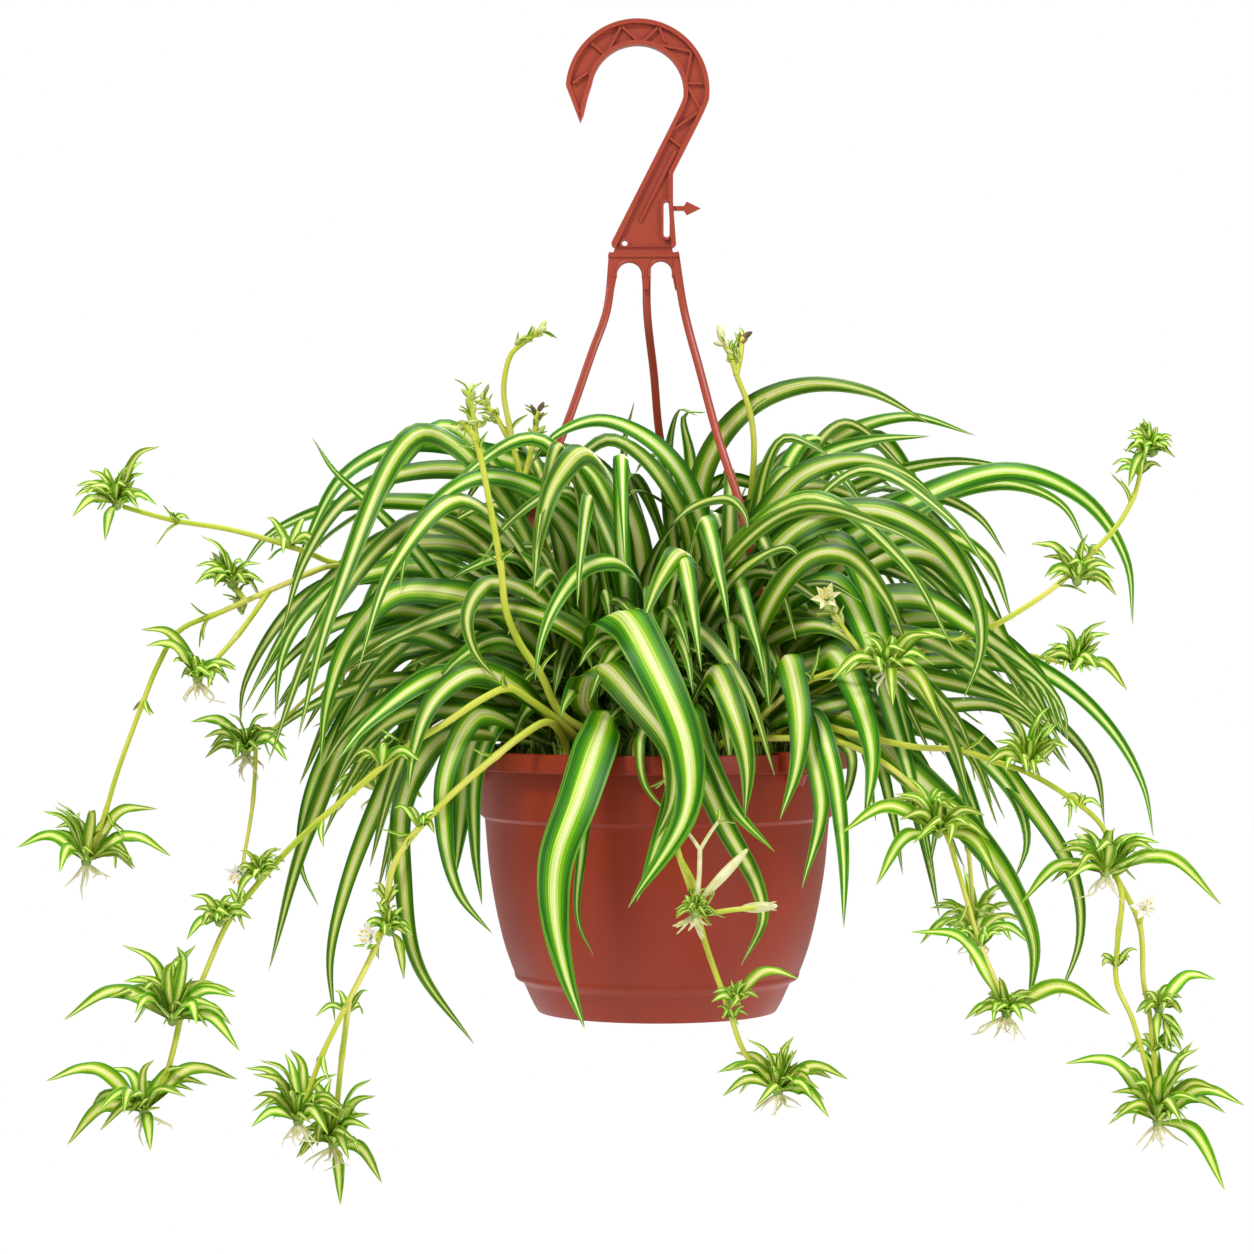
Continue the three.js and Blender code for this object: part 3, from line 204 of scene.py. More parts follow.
# More of them, which the solids don't have.
MORE_LEAVES = (
    (7, (655, 716, -88), (640, 742, -112), (645, 785, -117), (671, 817, -118)),
    (8, (606, 720, -82), (594, 760, -112), (582, 850, -114), (578, 920, -115), (594, 957, -116)),
    (12, (530, 620, -20), (467, 584, -34), (370, 575, -44), (316, 590, -50), (280, 622, -54),
     (244, 686, -58), (240, 728, -58)),
    (13, (520, 640, -30), (442, 570, -48), (350, 579, -60), (302, 618, -66), (282, 657, -70),
     (275, 720, -72)),
    (12, (530, 660, -10), (467, 618, -24), (384, 633, -32), (336, 650, -36), (300, 676, -40),
     (276, 706, -42)),
    (11, (520, 660, -30), (418, 611, -46), (355, 618, -54), (316, 636, -58), (280, 669, -62),
     (250, 716, -64)),
    (13, (540, 690, -50), (479, 662, -62), (418, 633, -70), (370, 642, -76), (336, 674, -80),
     (322, 732, -82)),
    (11, (540, 700, -20), (479, 681, -36), (399, 679, -48), (341, 693, -54), (292, 718, -58),
     (262, 746, -60)),
    (12, (540, 712, -30), (471, 696, -52), (408, 691, -62), (355, 722, -68), (320, 770, -70)),
    (12, (540, 724, -40), (467, 711, -62), (406, 713, -72), (367, 741, -78), (334, 786, -80)),
    (10, (540, 715, 0), (460, 690, -14), (392, 720, -20), (350, 780, -22), (322, 840, -22)),
    (14, (720, 650, -40), (798, 619, -60), (871, 600, -70), (925, 600, -76), (973, 628, -80),
     (1040, 678, -84), (1064, 712, -85), (1068, 742, -85)),
    (12, (780, 690, -40), (925, 661, -52), (992, 664, -58), (1037, 682, -62), (1062, 735, -64)),
    (12, (790, 720, -50), (871, 715, -64), (940, 706, -70), (992, 705, -74), (1034, 728, -76),
     (1052, 756, -76)),
    (13, (770, 680, -66), (871, 655, -80), (925, 685, -86), (958, 721, -89), (974, 760, -90)),
    (10, (800, 715, -60), (880, 700, -70), (943, 726, -74), (975, 760, -76), (993, 806, -76)),
    (13, (810, 725, -30), (900, 722, -42), (968, 748, -48), (1014, 796, -50), (1027, 842, -50),
     (1014, 882, -50)),
    (9, (812, 730, -70), (850, 752, -88), (848, 790, -92), (832, 824, -93)),
    (9, (814, 728, -60), (872, 752, -74), (892, 812, -78), (903, 876, -78)),
    (9, (812, 728, -40), (905, 745, -52), (935, 800, -54), (930, 872, -54)),
    (20, (584, 706, -78), (598, 664, -96), (640, 706, -120), (672, 752, -132), (672, 800, -136),
     (652, 846, -138)),
    (14, (735, 676, -50), (765, 643, -72), (815, 624, -92), (850, 640, -98), (870, 676, -100)),
    (12, (720, 655, -40), (750, 612, -66), (790, 590, -84), (828, 584, -92), (862, 602, -96)),
    (11, (478, 640, -30), (424, 562, -64), (374, 508, -78), (332, 468, -86), (314, 440, -90)),
    (15, (640, 560, 30), (600, 470, 24), (545, 448, 16), (490, 470, 8), (455, 520, 4)),
    (15, (690, 560, 30), (655, 470, 22), (610, 438, 14), (572, 470, 8), (562, 520, 6)),
    (14, (700, 560, 40), (690, 455, 36), (684, 414, 30), (708, 412, 24)),
    (15, (700, 600, 10), (742, 520, 2), (800, 486, -4), (862, 500, -8), (905, 540, -10)),
)

# The hanger's strands, from the yoke down to the pot's rim.
STRANDS = (
    ((613, 262, 0), (607, 310, -2), (592, 353, -6), (570, 416, -12), (546, 477, -17), (533, 516, -20),
     (517, 589, -24), (499, 668, -28)),
    ((647, 262, 0), (647, 310, 4), (654, 375, 24), (659, 431, 42), (668, 479, 58), (680, 560, 78),
     (692, 650, 95)),
    ((675, 262, 0), (684, 310, -5), (700, 371, -17), (717, 434, -30), (728, 468, -38), (739, 501, -45),
     (750, 550, -54), (771, 640, -66)),
)

# Runners and stalks: the foot in the soil, the radius, and the routes from there. A route after
# the first starts on an earlier one.
STEMS = {
    "runner_left_high": ((-66, -8), 2.1, (
        ((470, 640, -20), (400, 575, -34), (363, 567, -40), (331, 562, -45), (301, 550, -50),
         (232, 530, -56), (172, 520, -60), (124, 507, -62)),
        ((366, 567, -40), (331, 566, -46), (285, 584, -56), (221, 612, -64), (179, 631, -70),
         (159, 663, -74), (143, 702, -76), (117, 773, -78), (102, 822, -80), (88, 852, -80)),
        ((270, 590, -58), (244, 627, -70), (222, 653, -76), (203, 672, -80)),
        ((245, 600, -60), (236, 588, -56)))),
    "runner_left_mid": ((-72, 18), 1.6, (
        ((480, 700, 10), (400, 655, 0), (330, 680, -20), (283, 720, -30), (255, 745, -34)),
        ((256, 742, -34), (253, 800, -36), (242, 868, -38)))),
    "runner_left_long": ((-42, -64), 2.2, (
        ((575, 736, -72), (551, 715, -84), (530, 700, -92), (509, 688, -100), (482, 699, -108),
         (447, 722, -114), (407, 747, -118), (350, 794, -122), (293, 845, -124), (250, 893, -125),
         (228, 922, -125), (196, 993, -126), (179, 1022, -126)),
        ((180, 1018, -126), (173, 1050, -128), (165, 1076, -130), (146, 1104, -132)))),
    "runner_left_front": ((-50, -70), 2.2, (
        ((548, 722, -90), (524, 734, -100), (496, 756, -108), (440, 806, -116), (395, 862, -122),
         (382, 930, -128), (344, 1010, -134), (323, 1053, -136), (301, 1112, -138)),
        ((349, 1000, -133), (341, 1063, -122), (334, 1135, -112)),
        ((381, 932, -128), (374, 938, -137)))),
    "runner_front": ((-12, -82), 2.1, (
        ((650, 722, -98), (662, 742, -116), (669, 792, -124), (676, 844, -127), (694, 899, -131),
         (705, 942, -134), (727, 1004, -138), (747, 1057, -141), (775, 1082, -143)),
        ((680, 858, -128), (702, 900, -142), (703, 912, -144), (732, 910, -146), (764, 907, -147)))),
    "runner_right_high": ((64, -34), 2, (
        ((800, 705, -44), (860, 672, -60), (925, 650, -72), (979, 633, -78), (1045, 594, -78),
         (1075, 569, -76), (1119, 523, -72), (1137, 487, -70), (1142, 452, -68), (1142, 424, -67)),)),
    "runner_right_flower": ((46, -62), 1.8, (
        ((780, 700, -84), (830, 672, -104), (876, 664, -118)),
        ((870, 665, -116), (858, 648, -122), (843, 627, -124), (828, 604, -126)))),
    "runner_right_low": ((58, -58), 2.1, (
        ((796, 722, -58), (850, 733, -90), (915, 747, -100), (958, 750, -102), (999, 763, -104),
         (1026, 772, -105), (1069, 797, -106), (1104, 829, -106), (1115, 878, -106)),
        ((1114, 872, -106), (1122, 893, -110), (1118, 942, -112), (1117, 983, -112), (1133, 1020, -111),
         (1158, 1112, -110)),
        ((1115, 874, -106), (1140, 925, -98), (1144, 983, -96), (1150, 1014, -97), (1157, 1090, -106)),
        ((1140, 924, -98), (1143, 910, -110)))),
    "runner_right_mid": ((32, -78), 1.9, (
        ((790, 738, -92), (840, 742, -104), (900, 775, -110), (945, 832, -112), (958, 870, -112),
         (980, 942, -112), (1006, 1004, -112)),)),
    "runner_right_back": ((70, 22), 1.8, (
        ((870, 655, 34), (960, 640, 36), (1020, 652, 30), (1066, 664, 22)),)),
    "runner_back_left": ((-44, 66), 2.1, (
        ((470, 600, 110), (420, 620, 150), (385, 690, 178), (378, 745, 186), (378, 785, 188)),)),
    "runner_back": ((14, 82), 2.1, (
        ((640, 640, 130), (644, 700, 160), (650, 760, 176), (652, 820, 181), (652, 880, 182)),)),
    "runner_back_right": ((56, 62), 2.1, (
        ((800, 620, 110), (880, 610, 150), (940, 700, 175), (965, 820, 184), (975, 930, 186)),)),
    "stalk_left": ((-24, -66), 2, (
        ((562, 715, -76), (541, 675, -84), (519, 642, -90), (506, 610, -94), (501, 567, -95),
         (492, 516, -95), (483, 468, -94), (477, 440, -94), (469, 392, -94)),
        ((478, 446, -94), (471, 432, -96), (463, 424, -97)))),
    "stalk_mid": ((-22, 14), 1.8, (
        ((600, 660, 4), (560, 580, -2), (532, 510, -8), (518, 466, -12), (509, 423, -14),
         (504, 397, -15), (505, 375, -16), (512, 353, -17), (525, 342, -18), (540, 331, -18)),
        ((516, 452, -13), (507, 436, -12), (496, 416, -11), (483, 401, -10)),
        ((524, 480, -11), (532, 448, -10), (538, 412, -9)))),
    "stalk_right": ((24, 16), 1.9, (
        ((728, 640, 14), (745, 540, 8), (752, 483, 4), (754, 449, 2), (752, 423, 1), (746, 399, 0),
         (737, 377, 0), (730, 355, 0), (722, 341, 0)),
        ((736, 376, 0), (741, 352, 3), (742, 338, 5)))),
}

# The ends of stalks that carry buds: where, which way they point, and how fresh they are.
BUDS = {
    "stalk_left": (((469, 392, -94), (-0.1, 0, 1), "green"), ((463, 424, -97),
        (-0.8, -0.3, -0.1), "green")),
    "stalk_mid": (((540, 331, -18), (0.9, 0, 0.5), "green"), ((483, 401, -10), (-0.6, 0, 0.8), "green"),
        ((538, 412, -9), (0.1, 0, 1), "dry")),
    "stalk_right": (((722, 341, 0), (-0.6, 0, 0.7), "white"), ((742, 338, 5), (0.5, 0, 0.9), "dry")),
    "runner_left_high": (((236, 588, -56), (-0.2, -0.3, 0.9), "green"),),
    "runner_right_high": (((1142, 430, -67), (0, 0, 1), "green"),),
    "runner_right_flower": (((830, 606, -126), (-0.5, -0.2, 0.8), "green"),),
}

# Small leafy tufts that stand on a stem: the place, the length of the leaves and how many.
TUFTS = {
    "runner_left_high": (((292, 532, -50), 22, 7), ((172, 516, -60), 10, 4), ((378, 566, -38), 14, 5)),
    "runner_left_mid": (((226, 700, -40), 10, 4),),
    "runner_left_long": (((262, 862, -120), 12, 6), ((404, 790, -100), 26, 6), ((242, 905, -126), 12, 4)),
    "runner_left_front": (((412, 822, -122), 20, 6), ((350, 1018, -134), 16, 5), ((372, 905, -128), 14, 6)),
    "runner_front": (((746, 1012, -142), 10, 5),),
    "runner_right_high": (((1138, 478, -70), 20, 5), ((1090, 560, -76), 12, 4)),
    "runner_right_low": (((1082, 810, -110), 12, 5), ((1112, 962, -100), 16, 6),
        ((1152, 1050, -100), 16, 6)),
    "runner_right_mid": (((950, 800, -110), 20, 7), ((985, 950, -112), 20, 7)),
}

# Plantlets: the place on the stem, how far from there the heart sits, the length and number of
# the leaves, how many root tips the solid has, and the tips of the long leaves.
PLANTLETS = {
    "left_high_end": ((124, 507, -62), (-3.8, 0, 1.2), 27, 6, 0,
        ((160, 446, -66), (76, 486, -66), (72, 517, -74), (105, 541, -70))),
    "left_high_middle": ((236, 588, -56), (-2, -2.4, 2.4), 24, 6, 0, ((216, 545, -60), (262, 600, -44))),
    "left_high_low": ((203, 672, -80), (-2.9, 0, -3.9), 24, 6, 2,
        ((140, 629, -86), (145, 646, -96), (236, 640, -86))),
    "left_high_tail": ((88, 852, -80), (-1.1, 0, -5.3), 38, 7, 3,
        ((16, 848, -90), (172, 857, -84), (158, 809, -80), (97, 770, -86))),
    "left_middle": ((255, 743, -34), (-5.2, 0, -5.2), 28, 7, 3, ((190, 722, -40), (316, 760, -44))),
    "left_long_upper": ((270, 869, -124), (-5.4, -5.4, -2.7), 16, 5, 0, ((236, 900, -130),)),
    "left_long_lower": ((228, 922, -125), (-4.1, -3.5, 0.6), 20, 5, 0, ((186, 940, -130),)),
    "left_long_end": ((178, 1022, -126), (-2.3, -6.9, 1.5), 40, 7, 0,
        ((62, 1021, -134), (196, 944, -130), (230, 990, -116), (240, 1052, -140))),
    "left_long_tail": ((146, 1104, -132), (-1.3, 0, -4.2), 40, 7, 2,
        ((44, 1082, -138), (66, 1146, -140), (238, 1080, -122), (150, 1152, -148))),
    "left_front_upper": ((382, 930, -128), (4.1, -4.1, 0), 18, 5, 0, ((404, 980, -134),)),
    "left_front_end": ((301, 1112, -138), (-1.6, 0, -5.2), 38, 8, 2,
        ((244, 1068, -144), (250, 1128, -148), (290, 1052, -128))),
    "left_front_tail": ((334, 1135, -112), (-0.5, 0, -5.4), 36, 7, 2,
        ((382, 1184, -108), (340, 1206, -116), (376, 1096, -104))),
    "front_bracts": ((702, 910, -143), (-3.9, -4.6, -1.3), 15, 7, 0, ()),
    "front_tuft": ((726, 1000, -138), (4.4, -3.3, 0), 14, 4, 0, ((799, 979, -146),)),
    "front_end": ((775, 1082, -143), (1.6, 0, -5.2), 33, 8, 2,
        ((849, 1080, -146), (717, 1073, -140), (830, 1119, -152))),
    "right_high_middle": ((1070, 572, -76), (3.2, -4.7, -4.7), 24, 5, 0,
        ((1030, 544, -80), (1117, 596, -84))),
    "right_high_end": ((1142, 452, -68), (4.4, -5.1, 0), 18, 6, 0, ((1169, 446, -72), (1128, 487, -76))),
    "right_front": ((877, 664, -118), (5.7, -1.8, -1.8), 30, 7, 2,
        ((830, 682, -134), (955, 640, -124), (941, 722, -136), (893, 706, -142))),
    "right_low_upper": ((1027, 772, -105), (0, -2.3, 3.1), 26, 7, 0, ((1050, 706, -112), (985, 766, -116))),
    "right_low_end": ((1115, 876, -106), (-5.9, -5.9, 1.8), 40, 7, 2,
        ((1223, 906, -108), (1020, 905, -110), (1161, 843, -114), (1062, 844, -98))),
    "right_low_tuft": ((1148, 1008, -97), (5.5, -4.1, 0), 16, 4, 0, ((1217, 980, -92),)),
    "right_low_tail": ((1158, 1112, -110), (0, -0.5, -5.4), 40, 9, 2,
        ((1064, 1064, -118), (1246, 1106, -112), (1226, 1192, -118), (1200, 1048, -102))),
    "right_back": ((1066, 664, 22), (4.5, 0, -0.9), 26, 7, 0, ((1128, 691, 16), (1111, 634, 26))),
    "right_mid": ((945, 832, -112), (-4, -5.6, 0), 32, 7, 0,
        ((840, 834, -124), (876, 886, -126), (1000, 882, -120))),
    "right_mid_end": ((1006, 1004, -112), (0.5, 0, -5.4), 24, 7, 3, ((910, 932, -120), (1112, 1016, -122))),
    "back_left": ((378, 785, 188), (0, 0, -4.8), 40, 8, 2, ()),
    "back_middle": ((652, 880, 182), (0, 0, -4.9), 38, 8, 2, ()),
    "back_right": ((975, 930, 186), (0, 0, -4.8), 40, 8, 2, ()),
}

# Plantlets that grow on in a crest: the place of its tip.
CRESTS = {
    "right_back": (1092, 630, 18),
    "right_low_upper": (1050, 718, -104),
    "left_high_end": (126, 470, -62),
    "right_high_end": (1144, 420, -67),
    "left_high_middle": (214, 552, -56),
    "right_low_end": (1136, 838, -106),
    "right_low_tuft": (1178, 1052, -104),
    "front_end": (790, 1046, -143),
    "left_long_end": (176, 962, -126),
}

# A long, pale bud that stands out from a plantlet: its foot and its tip.
LONG_BUDS = {"front_bracts": ((704, 896, -146), (747, 850, -140))}
# The side stem beside it, which forks: its fork and the tips of its two short arms.
SIDE_STEM = ((700, 848, -147), (684, 828, -146), (718, 822, -148))

# Flowers: the end of the stem, the way the flower faces, and how far it is open.
FLOWERS = {
    "left_middle": ((242, 869, -38), (-0.3, -0.7, -0.5), 0.8),
    "left_front": ((374, 938, -137), (-0.5, -0.8, 0.2), 0.75),
    "front": ((764, 907, -147), (0.9, -0.4, 0.1), 0.16),
    "right_front": ((828, 602, -126), (-0.2, -0.8, 0.5), 0.85),
    "right_low": ((1143, 910, -110), (0.1, -0.9, 0.3), 0.8),
}
CREAM_FLOWERS = ("front", "right_front")

# ---------------------------------------------------------------- places and curves

TINY = 1e-6
SPANS = 20
# The depth from which on a leaf turns its face to the back: any blade, and the leans of the long
# leaves, of those inside the crowns and of the small ones.
BLADE_DEPTH, LEAF_DEPTH, INNER_DEPTH, SMALL_DEPTH = 40, 20, 45, 60


def spot(place):
    """The place of a point of the front view."""
    across, down, depth = place
    scale = MM_PER_PIXEL * (EYE_DISTANCE + depth) / EYE_DISTANCE
    return Vector((EYE_X + (across - PIXEL_ACROSS) * scale, depth, EYE_Z + (PIXEL_DOWN - down) * scale))


def spots(places):
    return [spot(place) for place in places]


def polar(radius, azimuth, z):
    angle = math.radians(azimuth)
    return Vector((radius * math.cos(angle), radius * math.sin(angle), z))


def up(height):
    return Vector((0, 0, height))


def route_from(centre, azimuth, steps):
    """Places about a centre, by their reach, their turn from the azimuth and their height."""
    return [centre + polar(reach, azimuth + turn, height) for reach, turn, height in steps]


def in_frame(point):
    return (point - BEARING) * MM


def azimuth_of(vector):
    return math.degrees(math.atan2(vector.y, vector.x)) % 360


def angle_between(first, second):
    """How far apart two azimuths are."""
    return abs((first - second + 540) % 360 - 180)


def side_of(point, middle):
    """-1 on the near side of the plant and 1 on the far side, parted at a depth."""
    return -1 if point.y < middle else 1


def between(low, high, share):
    return low + (high - low) * share


def fraction(index, step):
    return (index * step) % 1


def swung(point, centre, turn):
    return Matrix.Rotation(math.radians(turn), 3, "Z") @ (point - centre) + centre


def aside(direction, angle):
    """A direction square to another, turned about it."""
    return Matrix.Rotation(angle, 3, direction) @ direction.orthogonal().normalized()


def spline(before, start, end, after, share):
    """A point of the centripetal Catmull-Rom curve between start and end."""
    gap0 = math.sqrt(max((start - before).length, TINY))
    gap1 = math.sqrt(max((end - start).length, TINY))
    gap2 = math.sqrt(max((after - end).length, TINY))
    leave = ((start - before) / gap0 - (end - before) / (gap0 + gap1) + (end - start) / gap1) * gap1
    arrive = ((end - start) / gap1 - (after - start) / (gap1 + gap2) + (after - end) / gap2) * gap1
    square = 3 * (end - start) - 2 * leave - arrive
    cube = 2 * (start - end) + leave + arrive
    return start + leave * share + square * share ** 2 + cube * share ** 3


def walk(points, count):
    """count + 1 places at even distances along the smooth curve, each with its direction."""
    ends = [2 * points[0] - points[1], *points, 2 * points[-1] - points[-2]]
    fine = [spline(*ends[index:index + 4], step / SPANS)
            for index in range(len(points) - 1) for step in range(SPANS)] + [points[-1]]
    reached = [0.0]
    for first, second in zip(fine, fine[1:]):
        reached.append(reached[-1] + (second - first).length)
    places = []
    index = 0
    for step in range(count + 1):
        target = reached[-1] * step / count
        while index < len(fine) - 2 and reached[index + 1] < target:
            index += 1
        span = reached[index + 1] - reached[index]
        share = (target - reached[index]) / span if span else 0
        places.append(fine[index].lerp(fine[index + 1], min(1, share)))
    directions = [(places[min(step + 1, count)] - places[max(step - 1, 0)]).normalized()
                  for step in range(count + 1)]
    return list(zip(places, directions))


def length_of(points):
    return sum((second - first).length for first, second in zip(points, points[1:]))


# ---------------------------------------------------------------- surfaces

# How far the end of a tube stands out, as a share of its radius there.
POINTED = 0.8
# The angle from which an edge shows sharp.
SHARP, SHARP_MOULDING, SHARP_STRAND, SHARP_SOIL = 50, 35, 60, 25


def turn_outwards(mesh):
    shape = bmesh.new()
    shape.from_mesh(mesh)
    bmesh.ops.recalc_face_normals(shape, faces=shape.faces)
    shape.to_mesh(mesh)
    shape.free()


def added(name, data):
    """A new object in the scene."""
    thing = bpy.data.objects.new(name, data)
    bpy.context.scene.collection.objects.link(thing)
    return thing


class Skin:
    """Gathers the surface of one object, in millimetres, and then makes the object."""

    def __init__(self):
        self.points, self.faces, self.looks = [], [], []
        self.coords, self.tones, self.stripes = [], [], []
        self.tone, self.stripe, self.look = 0.5, 1.0, 0

    def vary(self, rng, narrow, wide, light=1.0):
        """Chooses how light the next leaf is, and how wide its stripe. A light under 1 darkens it: painted
        shade.
        """
        self.tone, self.stripe = rng.uniform(0, light), rng.uniform(narrow, wide)

    def add(self, point, along=0.0, across=0.5):
        self.points.append(in_frame(point))
        self.coords.append((along, across))
        self.tones.append(self.tone)
        self.stripes.append(self.stripe)
        return len(self.points) - 1

    def ring(self, points, along=0.0, across=None):
        shares = across or [index / len(points) for index in range(len(points))]
        return [self.add(point, along, share) for point, share in zip(points, shares)]

    def face(self, *corners):
        self.faces.append(corners)
        self.looks.append(self.look)

    def bridge(self, low, high):
        for index in range(len(low)):
            after = (index + 1) % len(low)
            self.face(low[index], low[after], high[after], high[index])

    def loft(self, rings, tip=None):
        """Joins rings to a closed skin, with a point at the end where a tip is given."""
        for low, high in zip(rings, rings[1:]):
            self.bridge(low, high)
        self.face(*reversed(rings[0]))
        last = rings[-1]
        if tip is None:
            self.face(*last)
            return
        point = self.add(tip, 1.0)
        for index, corner in enumerate(last):
            self.face(corner, last[(index + 1) % len(last)], point)

    def tube(self, path, radius_at, sides):
        """A round tube along a path of places and directions, with a radius for each share."""
        normal = path[0][1].orthogonal().normalized()
        rings = []
        for step, (centre, direction) in enumerate(path):
            along = step / (len(path) - 1)
            normal = (normal - direction * normal.dot(direction)).normalized()
            across = direction.cross(normal)
            radius = radius_at(along)
            rings.append(self.ring([
                centre + normal * radius * math.cos(angle) + across * radius * math.sin(angle)
                for angle in (2 * math.pi * side / sides for side in range(sides))], along))
        self.loft(rings, path[-1][0] + path[-1][1] * radius_at(1.0) * POINTED)

    def build(self, name, looks, slot, nodes, sharp=SHARP):
        mesh = bpy.data.meshes.new(name)
        mesh.from_pydata(self.points, [], self.faces)
        mesh.polygons.foreach_set("material_index", self.looks)
        layer = mesh.uv_layers.new(name="Leaf")
        for loop in mesh.loops:
            layer.data[loop.index].uv = self.coords[loop.vertex_index]
        for title, values in (("tone", self.tones), ("stripe", self.stripes)):
            mesh.attributes.new(title, "FLOAT", "POINT").data.foreach_set("value", values)
        for look in looks:
            mesh.materials.append(look)
        turn_outwards(mesh)
        mesh.shade_smooth()
        mesh.set_sharp_from_angle(angle=math.radians(sharp))
        piece = added(name, mesh)
        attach(piece, "root")
        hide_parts(*nodes)
        return piece


# A leaf's blade, from its middle to each margin, and along its length. The margins ripple, and
# droop where the leaf bends over: DROOP is a share of half the width.
ACROSS = 3
THICKNESS, SMALL_THICKNESS, STUB_THICKNESS = 0.55, 0.35, 0.4
FOOT_WIDTH, WIDENING, TIP_POWER = 0.26, 2.1, 0.9
RIPPLES = 17
CHANNEL_POWER = 1.6
MIDRIB = 0.8
DROOP = 0.5
BEND_SHARE = 0.09
LEAN_FOOT, LEAN_REACH = 0.25, 0.6
FACE_FOOT, FACE_REACH = 0.3, 0.35
FACE_LIMIT = 1.3
SMOOTHED_OVER = 9


def taper(along, fullness):
    """How wide a leaf is along its length, as a share of its greatest width."""
    return min(1, FOOT_WIDTH + WIDENING * along) * max(0, 1 - along ** fullness) ** TIP_POWER


def blade(skin, points, width, tilt, stations, wave=0.0, thickness=THICKNESS, lift=0.2, fullness=2.4,
          twist=0.0, facing=0.0):
    """A thin, channelled leaf along a curve.

    Its face looks up at the foot and leans by tilt, and turns out to the front or the back by facing.
    """
    outer = side_of(points[-1], BLADE_DEPTH)
    phase = 60 * skin.tone
    *path, (tip, _) = walk(points, stations)
    heading = points[-1] - points[0]
    heading = Vector((heading.x, heading.y, 0)).normalized()
    level = Vector((-heading.y, heading.x, 0))
    leans, sides = [], []
    for step, (_, direction) in enumerate(path):
        along = step / stations
        face = direction.cross(level).normalized()
        side = face.cross(direction)
        sides.append((face, side))
        lean = tilt * min(1, LEAN_FOOT + along / LEAN_REACH) + twist * along * along
        turn = math.atan2(outer * side.y, outer * face.y)
        share_of_turn = facing * min(1, FACE_FOOT + along / FACE_REACH) * min(
            1, (math.pi - abs(turn)) / FACE_LIMIT)
        leans.append(lean + (turn - lean) * share_of_turn)
    highest = max(range(stations), key=lambda step: path[step][0].z) / stations
    reach = stations // SMOOTHED_OVER
    rings = []
    for step, (centre, direction) in enumerate(path):
        along = step / stations
        face, side = sides[step]
        near = leans[max(0, step - reach):step + reach + 1]
        lean = sum(near) / len(near)
        normal = face * math.cos(lean) + side * math.sin(lean)
        edge = normal.cross(direction).normalized()
        share_of_width = taper(along, fullness)
        half = width / 2 * share_of_width
        ripple = wave * width * math.sin(phase + along * RIPPLES)
        bending = math.exp(-((along - highest) / BEND_SHARE) ** 2) * min(1, facing * 2)
        channel = lift - (lift + DROOP) * bending
        upper, lower, shares = [], [], []
        for place in range(-ACROSS, ACROSS + 1):
            share = place / ACROSS
            rise = channel * half * abs(share) ** CHANNEL_POWER + ripple * share_of_width * share * abs(share)
            point = centre + edge * half * share + normal * rise
            upper.append(point)
            shares.append(0.5 + share / 2)
            if abs(place) < ACROSS:
                thicker = 1 + MIDRIB * (place == 0)
                lower.append(point - normal * thickness * thicker * (1 - share ** 2) ** 0.5)
        rings.append(skin.ring(upper + lower[::-1], along, shares + shares[1:-1][::-1]))
    skin.loft(rings, tip)


def small_blade(skin, arch, width, tilt, stations=14, fullness=1.7, lift=0.35, facing=0.0):
    blade(skin, arch, width, tilt, stations, thickness=SMALL_THICKNESS, lift=lift, fullness=fullness,
          facing=facing)


def corners_of(node):
    """The corners of a node's solid, for finding out which leaf stands where."""
    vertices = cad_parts[node].data.vertices
    tree = kdtree.KDTree(len(vertices))
    for vertex in vertices:
        tree.insert(vertex.co, vertex.index)
    tree.balance()
    return tree


def best_turn(corners, tip, centre, turns):
    """The turn about the centre that takes the tip to a corner of the solid, if there is one."""
    far = {turn: corners.find(in_frame(swung(tip, centre, turn)))[2] / MM for turn in turns}
    turn = min(far, key=far.get)
    return turn if far[turn] < SAME_PLACE else None


# ---------------------------------------------------------------- materials

# The streaks of a leaf: how many there are across it, how far they push the stripe, how much
# darker and lighter the fine ones are, and where the stripe closes towards the tip.
STREAKS, FINE_STREAKS = 21.0, 70.0
STREAK_LENGTH = 2.6
STREAK_PUSH = 0.55
FINE_SHADE = (0.72, 1.2)
STRIPE_CLOSING = (0.72, 1.0, 1.0, 1.7)
FOOT_SHARE = 0.5
LEAF_HUES = (0.485, 0.515)
LEAF_VALUES = (0.82, 1.14)
COAT = {"Coat Weight": 0.2, "Coat Roughness": 0.34}


